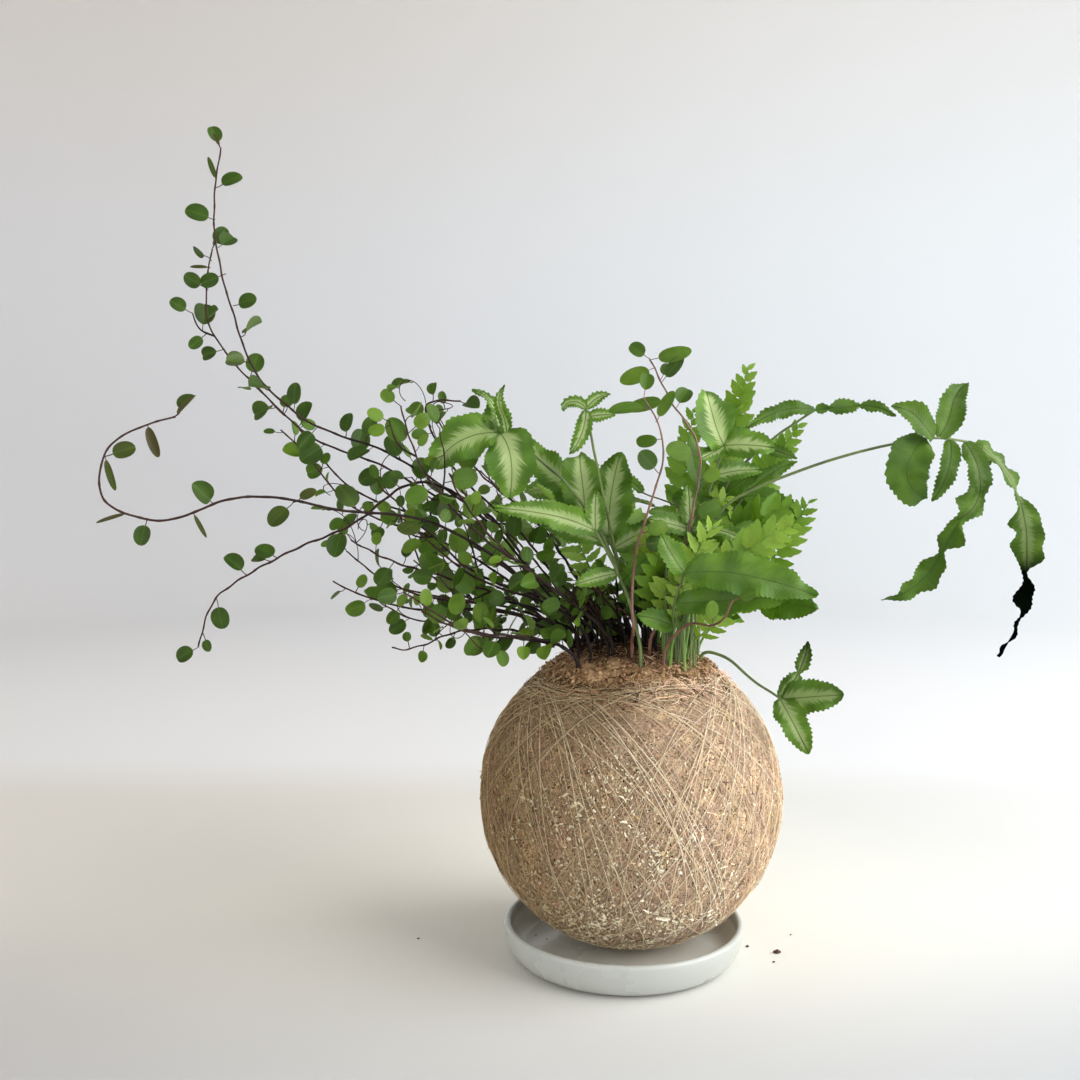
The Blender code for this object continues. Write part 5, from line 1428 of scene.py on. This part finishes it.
def pinnaPart(pinna, own, pale, draw):
    # The solid's pinna with a finer outline: teeth, waves, a crimped edge and a grooved midrib. A narrow one
    # ripples and rolls as a ribbon does
    length, width = pinna["length"], pinna["width"]
    count = max(24, round(length / pinnaLooks["step"]))
    path = turningPath(pinna["start"], pinna["headings"], length, count)
    share = np.linspace(0, 1, count)
    outline = np.sin(math.pi * np.clip(share * 0.965 + 0.03, 0, 1) ** 0.75) ** 0.65
    ribbon = np.clip((length / width - 3.5) / 3, 0, 1)
    half = width / 2 * outline * pinnaLooks["wider"] * own.get("wider", 1.0)
    depth, reach = pinnaLooks["pinch"]
    for place in own.get("pinches", ()):
        half = half * (1 - depth * np.exp(-(((share - place) / reach) ** 2)))
    tooth = pinnaLooks["tooth"] * (0.6 + 0.9 * share)
    edges = []
    for shift in (0, 1):
        saw = ((np.arange(count) + shift) % pinnaLooks["toothPitch"]) / 2 - 0.5
        ruffle = np.sin(share * length * 0.75 + draw.uniform(0, 6.28))
        edge = np.maximum(half + tooth * saw * outline, pinnaLooks["least"])
        edge = edge + (0.04 + 0.12 * ribbon) * half * ruffle
        edge[0] = pinnaLooks["foot"]
        edges.append(edge)
    across = np.linspace(-1, 1, pinnaLooks["columns"])
    wave = width * pinnaLooks["wave"] * np.sin(share * pinna["waves"] * 2 * math.pi)
    crimp = width * (0.05 + 0.07 * ribbon) * np.sin(share * length * 0.6 + draw.uniform(0, 6.28))
    start = np.clip(share * 8, 0, 1)[:, None]
    roll = pinnaLooks["roll"] * ribbon * np.sin(share * 6.5 + draw.uniform(0, 6.28))
    roll = roll * np.clip(share * 4, 0, 1)
    lift = -across * wave[:, None] + across**2 * crimp[:, None]
    lift = lift + abs(across) * half[:, None] * draw.uniform(0.1, 0.28)
    lift = lift * start - pinnaLooks["groove"] * np.exp(-((across / 0.12) ** 2)) * start
    lift = lift + across * (half * np.sin(roll))[:, None]
    left, right = (edge * np.cos(roll) for edge in edges)
    start, end = own.get("dark", (2, 3))  # past the tip where it has none
    shade = np.maximum(np.clip((share - start) / (end - start), 0, 1), own.get("deep", 0.0))
    return blades(
        path[None], pinna["face"], left[None], right[None], lift[None], 1, draw.uniform(*pale), shade[None],
        pinnaLooks["thickness"], pinnaLooks["lean"],
    )


def brakeMaterials():
    # Green pinnae with a streaked pale band along the middle that fades at both ends, and slanting veins
    leafy, where, (along, across, tint), (lengthwise, sideways, dark), under = leafInputs("brakeLeaf")
    away = abs(sideways)
    vein = lengthwise - away * 0.75
    streak = noise(one("CombineXYZ", {0: vein, 1: away * 0.1, 2: tint * 40.0}), 0.9, 2.0, 0.6)
    cloud = noise(where, 75.0, 3.0)
    colour = mix(ease(cloud, 0.35, 0.7), brakeColours["green"], brakeColours["bright"])
    band = ease(varied(abs(across), streak, 0.9), 0.56, 0.20)
    ends = ease(along, 0.99, 0.82) * ease(along, 0.0, 0.08)
    paleShare = ease(tint, 0.0, 0.75) * 0.92
    paleShare = band * ends * paleShare
    colour = mix(paleShare, colour, brakeColours["pale"])
    midrib = ease(away, 0.3, 0.12)
    colour = mix(midrib * 0.75, colour, brakeColours["midrib"])
    colour = mix(under * 0.35, colour, brakeColours["back"])
    through = mix(0.45, colour, brakeColours["through"])
    colour = mix(dark, colour, brakeColours["black"])
    through = mix(dark, through, brakeColours["black"])
    ridges = maths("SINE", vein * 5.2)
    relief = bump(ridges + midrib * -2.5, 0.00006, 0.7)
    rough = 0.34 + cloud * 0.2
    rough = rough + dark * 0.5
    shine = (1.0 - dark) * 0.45
    finish(colour, rough, relief, through, 0.36, Specular_IOR_Level=shine)
    return streakedGreen("brakeStalk", brakeColours["stalk"], brakeColours["stalkShade"]), leafy


def streakedGreen(name, colour, shadeColour):
    # A plain stalk: two colours mixed by noise along it
    material = newMaterial(name)
    where = objectPlace()
    mixed = mix(ease(noise(where, 60.0, 3.0), 0.4, 0.7), colour, shadeColour)
    finish(mixed, 0.45, bump(noise(where, 700.0, 2.0), 0.0002, 0.5))
    return material


def makeBrakeFerns(plants, stalkMaterial, leafMaterial):
    # Each frond in one piece: its stalk and its pinnae, with the looks that are its own
    draw = np.random.default_rng(71)
    for number, name in enumerate(brakeFerns):
        looks = frondLooks.get(name, {})
        parts = [stemPart(plants["stems"][name][0], pinnaLooks["stalk"], 7, 2000 + number, 0.12, noKnots)]
        for i, pinna in enumerate(pinna for pinna in plants["pinnae"] if pinna["node"] == name):
            own = {**looks, **ownLooks.get((name, i), {})}
            parts.append(pinnaPart(pinna, own, looks.get("pale", pinnaLooks["pale"]), draw))
        makePiece("frond_" + name, parts, [stalkMaterial, leafMaterial], "brake_green", name)


def makeFernFilling(stalkMaterial, leafMaterial):
    # Plain green blades on thin stalks that fill the middle of the fern between the fronds
    draw = np.random.default_rng(73)
    parts = []
    for i in range(filling["blades"]):
        base = drawn(draw, filling, "across", "deep", "high")
        root = drawn(draw, filling, "rootAcross", "rootDeep")
        foot = sunkInSoil(root, 1.0)
        bow = np.array((foot[0] * 0.8 + base[0] * 0.2, foot[1], base[2] * 0.9 + foot[2] * 0.1))
        stalk = thinned(smoothCurve([foot, bow, base]), 0.1)
        parts.append(stemPart(stalk, filling["stalk"], 5, 4000 + i, 0.1, noKnots))
        heading = unit((draw.uniform(-0.6, 1.0), draw.normal() * 0.4, draw.uniform(-0.2, 1.0)))
        length = draw.uniform(*filling["length"])
        pinna = dict(
            start=base, headings=[heading, unit(heading + (0.1, 0, -0.5))], length=length,
            width=length * draw.uniform(*filling["width"]), waves=length / 16,
            face=unit(viewer + draw.normal(size=3) * 0.35),
        )
        parts.append(pinnaPart(pinna, {}, filling["pale"], draw))
    makePiece("filling_brake_blades", parts, [stalkMaterial, leafMaterial], "brake_green")


# Ladder fern

rungs = dict(
    rib=(0.62, 0.22), step=1.2, pitch=4.4, widen=(0.22, 0.36), thickness=0.28, stations=8, notch=0.13,
    least=0.14, lean=(14, 34), curve=0.16, droop=(-0.05, 0.3), cup=0.22, tip=0.5,
)
ladderFilling = dict(
    count=20, across=(12, 29), deep=(-14, 24), length=(38, 82), leaflet=(7, 11), bareShare=0.35, stations=8,
)
ladderColours = dict(
    green=(0.19, 0.38, 0.032), bright=(0.42, 0.62, 0.085), back=(0.38, 0.54, 0.13),
    through=(0.70, 0.86, 0.14), rib=(0.22, 0.40, 0.06), ribShade=(0.12, 0.24, 0.04),
)


def ladderParts(path, face, leaflet, bareShare, draw):
    # Leaflets on alternate sides of a rib, their lengths a root of a sine along it. Each leans forward, and
    # curves and droops by the square of the way along
    rib = smoothCurve(path, rungs["step"])
    reach = distances(rib)
    _, normals = carriedNormals(rib, face)
    bare = bareShare * reach[-1]
    count = 2 * max(4, round((reach[-1] - bare) / rungs["pitch"]))
    at = np.linspace(bare, reach[-1] - rungs["tip"], count) + draw.normal(size=count) * 0.25
    start, normal, along = (
        np.stack([np.interp(at, reach, rows[:, k]) for k in range(3)], axis=1)
        for rows in (rib, normals, unit(np.gradient(rib, axis=0)))
    )
    normal, along = unit(normal), unit(along)
    side = np.cross(along, normal) * np.where(np.arange(count) % 2, 1, -1)[:, None]
    share = np.clip((at - bare) / (reach[-1] - bare), 0, 1)
    size = np.sin(math.pi * np.clip(0.12 + 0.84 * share, 0, 1)) ** 0.6 * leaflet + 0.8
    size = (size * draw.uniform(0.88, 1.1, count))[:, None, None]
    first, more = rungs["lean"]
    forward = np.radians(first + more * share**1.5 + draw.normal(size=count) * 5)[:, None]
    aside = side * np.cos(forward) + along * np.sin(forward)
    heading = unit(aside + normal * draw.normal(size=(count, 1)) * 0.12)
    t = np.linspace(0, 1, rungs["stations"])[None, :, None]
    droop = draw.uniform(*rungs["droop"], (count, 1, 1))
    way = heading[:, None] * t + along[:, None] * rungs["curve"] * t**2 - normal[:, None] * droop * t**2
    paths = start[:, None] + size * way
    widen = draw.uniform(*rungs["widen"]) * np.sin(math.pi * (0.1 + 0.87 * t[..., 0]) ** 0.75) ** 0.8
    notch = 1 + rungs["notch"] * np.where(np.arange(rungs["stations"]) % 2, 1, -1)
    half = np.maximum(size[..., 0] * widen, rungs["least"])
    lift = half[..., None] * rungs["cup"] * abs(np.linspace(-1, 1, 3))
    tint = draw.uniform(0, 1) + draw.normal(size=count) * 0.12
    face = unit(normal + draw.normal(size=(count, 3)) * 0.22)
    leafy = blades(paths, face, half * notch, half * (2 - notch), lift, 1, tint, thickness=rungs["thickness"])
    return [tubes(rib[None], np.linspace(*rungs["rib"], len(rib)), 5, 0), leafy]


def ladderMaterials():
    # Fresh green leaflets in two tones, with a paler rib and fine slanting ridges
    leafy, where, (_, _, tint), (lengthwise, sideways, _), under = leafInputs("ladderLeaf")
    cloud = noise(where, 90.0, 3.0)
    share = tint * 0.6 + cloud * 0.5
    colour = mix(ease(share, 0.25, 0.85), ladderColours["green"], ladderColours["bright"])
    colour = mix(under * 0.35, colour, ladderColours["back"])
    middle = ease(abs(sideways), 0.26, 0.1)
    colour = mix(middle * 0.4, colour, ladderColours["rib"])
    vein = lengthwise - abs(sideways) * 0.9
    relief = bump(maths("SINE", vein * 6.0), 0.00006, 0.7)
    through = mix(0.5, colour, ladderColours["through"])
    finish(colour, 0.36 + cloud * 0.2, relief, through, 0.4)
    return streakedGreen("ladderRib", ladderColours["rib"], ladderColours["ribShade"]), leafy


def makeLadderFerns(plants, ribMaterial, leafMaterial):
    # The fronds that have a solid, then others that stand between them
    draw = np.random.default_rng(81)
    materials = [ribMaterial, leafMaterial]
    for frond in plants["fronds"]:
        name = frond["node"]
        rib = plants["stems"][name][0]
        parts = ladderParts(rib, frond["face"], frond["leaflet"], ladder["bareShare"], draw)
        makePiece("frond_" + name, parts, materials, "ladder_green", name)
    plan = ladderFilling
    parts = []
    for _ in range(plan["count"]):
        root = drawn(draw, plan, "across", "deep")
        length = draw.uniform(*plan["length"])
        lean = np.array((draw.uniform(-0.15, 0.95), draw.normal() * 0.45, 1.0))
        top = sunkInSoil(root, 1.5)
        early = unit(lean * (0.35, 0.35, 1))
        late = unit(lean + np.array((draw.uniform(0, 0.5), draw.normal() * 0.3, draw.uniform(-0.9, 0.0))))
        path = turningPath(top, [early, unit(lean), late], length, plan["stations"])
        face = unit((draw.normal() * 0.4, -1.0, draw.uniform(0.2, 1.2)))
        parts += ladderParts(path, face, draw.uniform(*plan["leaflet"]), plan["bareShare"], draw)
    makePiece("filling_ladder_fronds", parts, materials, "ladder_green")


# Extra vine shoots beside the main ones: how many each shoot gets

companions = dict(
    vine_low_front=1, vine_low_middle=1, vine_low_near=1, vine_low_back=1, vine_middle=2, vine_third=1,
    vine_red_arch=1, vine_hook=1, vine_back_high=1, vine_back_low=1,
)
sparse = ("vine_tall_right", "vine_tall_left", "vine_curl", "vine_droop")
smallLeaves = dict(gap=(4.5, 9.5), looseGap=(8, 14), chance=0.6, sparseChance=0.2, strayed=9, bent=5)
redTips = dict(back=(0.5, 4.0, 10.0, 17.0), longer=1.25, narrower=0.75)
# Narrow young leaves and buds: shoot, share along it, heading, length, width, brownness
youngLeaves = (
    ("vine_tall_right", 1.0, (-0.45, -0.1, 1.0), 5.0, 1.5, 0.85),
    ("vine_tall_right", 0.955, (-0.35, 0.0, 1.0), 8.5, 2.2, 0.1),
    ("vine_tall_left", 0.97, (-1.0, 0.0, 0.1), 7.0, 1.6, 0.6),
    ("vine_tall_left", 1.0, (0.4, 0.0, 1.0), 6.0, 1.8, 0.5),
    ("vine_curl", 0.70, (0.45, 0.0, -0.9), 9.0, 1.8, 0.5),
    ("vine_curl", 0.79, (-0.95, 0.1, -0.22), 12.0, 1.6, 0.7),
    ("vine_curl", 0.885, (0.25, 0.0, -1.0), 11.0, 2.8, 0.15),
    ("vine_curl", 0.96, (0.3, 0.0, -1.0), 11.0, 4.0, 0.8),
    ("vine_curl", 1.0, (0.6, 0.0, 0.8), 8.0, 2.2, 0.7),
)
tangle = dict(
    stems=66, across=(-20, 13), deep=(-5, 22), length=(14, 36), radii=(0.55, 0.3),
    tendrils=42, tendrilLength=(12, 30), turn=(0.8, 4.6), tendrilRadius=0.2, leaf=(3.5, 7.5),
)


def layCompanions(plants, crowd):
    # Extra shoots that stray from a neighbour's route the further they are from the root, with small leaves;
    # more small leaves on the main shoots; the leaves at the red tips; and the young ones
    draw = np.random.default_rng(91)
    extra = dict(stems={}, leaves=[])
    leaves = extra["leaves"]
    for name, count in companions.items():
        face = vines[name].get("face", viewer)
        for _ in range(count):
            path = smoothCurve(plants["stems"][name][0], 3.0)
            share = np.linspace(0, 1, len(path))[:, None]
            path = path + share**0.8 * draw.normal(size=3) * smallLeaves["strayed"]
            path = path + share**2 * draw.normal(size=3) * smallLeaves["bent"]
            path = path[: max(6, round(len(path) * draw.uniform(0.72, 1.0)))]
            extra["stems"].setdefault(name, []).append(path)
            total = distances(path)[-1]
            at = vines[name]["leaves"][0] * 0.8
            side = 1
            while at < total:
                addSmallLeaf(leaves, placeLeaf(name, path, at, side, face, total, crowd, draw), crowd, draw)
                at += draw.uniform(*smallLeaves["gap"])
                side = -side
    for name, plan in vines.items():
        face = plan.get("face", viewer)
        chance = smallLeaves["sparseChance" if plan.get("red") or name in sparse else "chance"]
        for i, path in enumerate(plants["stems"][name]):
            total = distances(path)[-1]
            at = plan["leaves"][0] * 0.7 if i == 0 else 3.0
            while at < total:
                leaf = placeLeaf(name, path, at, draw.choice([-1, 1]), face, total, crowd, draw)
                if draw.uniform() < chance:
                    addSmallLeaf(leaves, leaf, crowd, draw)
                at += draw.uniform(*smallLeaves["looseGap"])
    for name in ("vine_red_tall", "vine_red_short"):
        path = plants["stems"][name][0]
        total = distances(path)[-1]
        for i, back in enumerate(redTips["back"]):
            leaf = placeLeaf(name, path, total - back, 1 - 2 * (i % 2), viewer, noTip, crowd, draw)
            if leaf:
                leaf["length"] *= redTips["longer"]
                leaf["width"] *= redTips["narrower"]
                leaves.append(leaf)
    for name, share, heading, length, width, brown in youngLeaves:
        path = plants["stems"][name][0]
        heading = unit(np.array(heading))
        face = unit(viewer - heading * (heading @ viewer))
        leaves.append(dict(
            node=name, base=pointAt(path, share * distances(path)[-1])[0], direction=heading, face=face,
            length=length, width=width, stalk=1.0, arch=0.15, brown=brown,
        ))
    return extra


def addSmallLeaf(leaves, leaf, crowd, draw):
    # Keeps a placed leaf at a smaller random size, turned about its own length
    if leaf is None:
        return
    claims(crowd, leaf["node"], "leaf", leafSolid(leaf))
    size = draw.uniform(*shoots["small"])
    turn = draw.normal() * 0.8
    side = np.cross(leaf["direction"], leaf["face"])
    face = math.cos(turn) * leaf["face"] + math.sin(turn) * side
    leaf.update(length=leaf["length"] * size, width=leaf["width"] * size, face=face)
    leaves.append(leaf)


def curledPath(start, heading, axis, length, turn, count=14):
    # A path whose heading turns about an axis, faster towards its end
    angle = turn * np.linspace(0, 1, count - 1)[:, None] ** 1.7
    steps = heading * np.cos(angle) + np.cross(axis, heading) * np.sin(angle)
    return np.concatenate([start[None], start + np.cumsum(steps, axis=0) * length / (count - 1)])


def makeTangle(plants, stemMaterial, leafMaterial):
    # Dark young stems crowded at the root, and tendrils that curl away from the shoots, with small leaves
    draw = np.random.default_rng(95)
    parts, leaves = [], []
    for i in range(tangle["stems"]):
        root = drawn(draw, tangle, "across", "deep")
        top = sunkInSoil(root, 1.0)
        late = unit((draw.uniform(-1.6, 0.35), draw.normal() * 0.5, draw.uniform(0.4, 1.0)))
        path = turningPath(top, [(0, 0, 1), late * (0.5, 0.6, 1.0), late], draw.uniform(*tangle["length"]), 7)
        parts.append(stemPart(path, tangle["radii"], 5, 3000 + i))
        leaves += tendrilLeaves(path, draw.integers(0, 4), 0.5, draw)
    names = [name for name in vines if name not in sparse and not vines[name].get("red")]
    for _ in range(tangle["tendrils"]):
        path = plants["stems"][draw.choice(names)][0]
        start, along = pointAt(path, draw.uniform(0.35, 1.0) * distances(path)[-1])
        heading = unit(along + draw.normal(size=3) * 0.8)
        axis = unit(np.cross(heading, draw.normal(size=3)))
        curl = curledPath(start, heading, axis, *drawn(draw, tangle, "tendrilLength", "turn"))
        parts.append(tubes(smoothCurve(curl, 1.2)[None], tangle["tendrilRadius"]))
        leaves += tendrilLeaves(curl, draw.integers(0, 4), 0.45, draw)
    parts += leafParts(leaves, draw)
    makePiece("vine_tangle", parts, [stemMaterial, leafMaterial], "vine_green")


def tendrilLeaves(path, count, first, draw):
    # Small leaves at random places along a path, facing roughly towards the front
    total = distances(path)[-1]
    leaves = []
    for _ in range(count):
        base, along = pointAt(path, draw.uniform(first, 1.0) * total)
        face = unit(viewer + draw.normal(size=3) * 0.8)
        direction = along * 0.4 + np.cross(along, face) * draw.choice([-1, 1])
        direction = unit(direction + draw.normal(size=3) * 0.4)
        face = unit(face - direction * (face @ direction))
        size = draw.uniform(*tangle["leaf"])
        leaves.append(dict(
            base=base, direction=direction, face=face, length=size, width=size * draw.uniform(0.6, 0.95),
            stalk=draw.uniform(0.8, 2.4), arch=draw.uniform(0.02, 0.3),
        ))
    return leaves


# Backdrop, light and camera. Where the wall's colours and the floor's sides change is in metres

backdrop = dict(
    radius=1500, cove=500, height=1500, sides=96, steps=16, rings=(1.0, 150.0, 400.0), floor=(205, 310),
    wide=1.75, reach=900, front=(-120, 70), near=(70, 260), floorAside=(-0.25, 0.3), top=(0.35, 0.95),
    sweep=(0.3, 1.5),
)
# The paper's colours paint light and shade: darker on the left away from the window, lighter on the right,
# darker at the front
paper = dict(
    floorLeft=(0.78, 0.74, 0.67), floorRight=(0.80, 0.81, 0.79), front=(0.68, 0.70, 0.76),
    shade=(1.16, 1.16, 1.12), sweepLeft=(0.84, 0.815, 0.79), sweepRight=(0.87, 0.895, 0.92),
    left=(0.63, 0.625, 0.635), right=(0.84, 0.885, 0.915), topLeft=(0.62, 0.58, 0.54),
    topRight=(0.85, 0.845, 0.83), plain=(1.0, 1.0, 1.0),
)
specks = dict(
    spots=((62, -2), (51, 4), (59, -11), (-84, 12), (71, 16)), size=(1.5, 0.7, 0.5, 0.5, 0.4), height=0.3,
)
lights = dict(
    window=dict(place=(1080, -300, 620), size=1500, power=28.5, colour=(1.0, 0.995, 0.985)),
    fill=dict(place=(-850, -800, 260), size=900, power=3.2, colour=(1.0, 0.98, 0.94)),
)
aimedAt = (0.0, 0.0, 120.0)
sky = dict(colour=(0.95, 0.965, 1.0), strength=0.48)
lens = dict(place=(-33.6, -490.0, 208.4), pitch=4.83, focal=41.67, sensor=36.0)


def stageMesh(name, points, faces):
    mesh = bpy.data.meshes.new(name)
    mesh.from_pydata((points * metres).tolist(), [], faces)
    return mesh


def makeBackdrop():
    # A floor that curves up into a wall all round, by a quarter circle
    radius, cove, height = (backdrop[key] for key in ("radius", "cove", "height"))
    ground = [(r, 0.0) for r in (*backdrop["rings"], radius - cove)]
    turn = np.linspace(0, math.pi / 2, backdrop["steps"])[1:]
    curve = [(radius - cove * (1 - math.sin(a)), cove * (1 - math.cos(a))) for a in turn]
    rings = turned(ground + curve + [(radius, height)], backdrop["sides"])
    quads = skin(rings)["faces"][0]
    mesh = stageMesh("backdrop", rings.reshape(-1, 3), [*quads.tolist(), list(range(backdrop["sides"]))])
    mesh.shade_smooth()
    addObject("backdrop", mesh, paperMaterial())


def paperMaterial():
    # Paper with painted light and shade: a floor, a sweep and a wall that pass into each other, each in two
    # colours across
    material = newMaterial("paperWithPaintedLight")
    across, deep, high = separated(objectPlace())
    # Painted light and shade: every part is darker on the left, away from the window, and lighter on the
    # right
    aside = ease(across, -backdrop["reach"] * metres, backdrop["reach"] * metres)
    wall = mix(aside, paper["left"], paper["right"])
    top = ease(high, *backdrop["top"])
    wall = mix(top, wall, mix(aside, paper["topLeft"], paper["topRight"]))
    sweep = mix(aside, paper["sweepLeft"], paper["sweepRight"])
    narrow = maths("DIVIDE", abs(across), backdrop["wide"])
    away = maths("MAXIMUM", abs(deep), narrow)
    wall = mix(ease(away + high, *backdrop["sweep"]), sweep, wall)
    near = mix(ease(across, *backdrop["floorAside"]), paper["floorLeft"], paper["floorRight"])
    # Painted shade: the floor is darker towards the front
    front = ease(deep, *(x * metres for x in backdrop["front"]))
    near = mix(1.0, near, mix(front, paper["front"], paper["plain"]), "MULTIPLY")
    # Painted light: close to the ball the floor is multiplied by shade, which is above one, lightening the
    # ball's shadow there
    fromBall = vectorMaths("LENGTH", objectPlace(), output="Value")
    paintedLightNearBall = ease(fromBall, *(x * metres for x in backdrop["near"]))
    near = mix(1.0, near, mix(paintedLightNearBall, paper["shade"], paper["plain"]), "MULTIPLY")
    finish(mix(ease(away, *(x * metres for x in backdrop["floor"])), near, wall), 0.9)
    return material


def makeSpecks():
    # Crumbs of soil that have dropped onto the paper beside the saucer: short bent spindles
    spots = np.array([(x, y, specks["height"]) for x, y in specks["spots"]])
    size = np.array(specks["size"])[:, None]
    paths = spots[:, None] + size[..., None] * np.array([(-1.0, 0.3, 0.0), (0.1, 0.0, 0.25), (0.9, 0.4, 0.0)])
    crumbs = tubes(paths, size * (0.35, 0.7, 0.3), 6)
    material = newMaterial("darkSpeck")
    grain = noise(objectPlace(), 900.0, 2.0)
    finish(mix(grain, peat["dark"], peat["brown"]), 0.9, bump(grain, 0.0002, 0.6))
    faces = [corners for group in crumbs["faces"] for corners in group.tolist()]
    mesh = stageMesh("specks", crumbs["points"], faces)
    addObject("specks", mesh, material)


def makeLights():
    # A large window on the right and a weak fill on the left, under an even sky
    for name, plan in lights.items():
        data = bpy.data.lights.new(name, "AREA")
        data.size = plan["size"] * metres
        data.energy = plan["power"]
        data.color = plan["colour"]
        lamp = addObject(name, data)
        lamp.location = [x * metres for x in plan["place"]]
        aim = np.array(aimedAt) - plan["place"]
        heading = math.atan2(aim[1], aim[0]) - math.pi / 2
        lamp.rotation_euler = (math.acos(-aim[2] / np.linalg.norm(aim)), 0, heading)
        lamp.visible_camera = False
    world = bpy.data.worlds.new("daylight")
    world.use_nodes = True
    background = world.node_tree.nodes["Background"].inputs
    background[0].default_value = (*sky["colour"], 1)
    background[1].default_value = sky["strength"]
    bpy.context.scene.world = world
    bpy.context.scene.view_settings.view_transform = "Standard"


def makeCamera():
    # In front of the object and above its ball, pitched a little down
    data = bpy.data.cameras.new("camera")
    data.lens = lens["focal"]
    data.sensor_width = lens["sensor"]
    camera = addObject("camera", data)
    camera.location = [x * metres for x in lens["place"]]
    camera.rotation_euler = (math.radians(90 - lens["pitch"]), 0, 0)
    bpy.context.scene.camera = camera


def makePot():
    # The saucer, the wrapped ball with its soil and fibres, and the thread round it
    makeSaucer(glazeMaterial())
    makeBall(fibreMaterial())
    makeSoil(soilMaterial())
    tones = [peat["dark"], peat["brown"], coir["pink"], coir["light"], coir["tan"]]
    looseCoir = tintedMaterial("looseCoir", tones, 0.85, 300.0, 0.0001)
    makeLooseFibres(looseCoir)
    makeFlatFibres(looseCoir)
    tones = [coir["dark"], coir["olive"], cream["deep"], cream["light"], cream["pale"]]
    makeFlecks(tintedMaterial("creamMoss", tones, 0.9, 900.0, 0.0003))
    makeThreads()


def makePlants(plants, extra):
    stemMaterial, leafMaterial = vineMaterials()
    redStem = streakedGreen("redStem", vineColours["redStem"], vineColours["redShade"])
    makeVines(plants, extra, stemMaterial, leafMaterial, redStem)
    makeTangle(plants, stemMaterial, leafMaterial)
    brakeLooks = brakeMaterials()
    makeBrakeFerns(plants, *brakeLooks)
    makeFernFilling(*brakeLooks)
    makeLadderFerns(plants, *ladderMaterials())


def main():
    makeBackdrop()
    makeSpecks()
    makeLights()
    makeCamera()
    print("backdrop, lights and camera made")
    makePot()
    print("saucer, ball, soil and thread made")
    plants, crowd = layPlants()
    extra = layCompanions(plants, crowd)
    print("leaves", len(plants["leaves"]) + len(extra["leaves"]), "pinnae", len(plants["pinnae"]))
    makePlants(plants, extra)
    print("plants made")
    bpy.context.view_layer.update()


main()
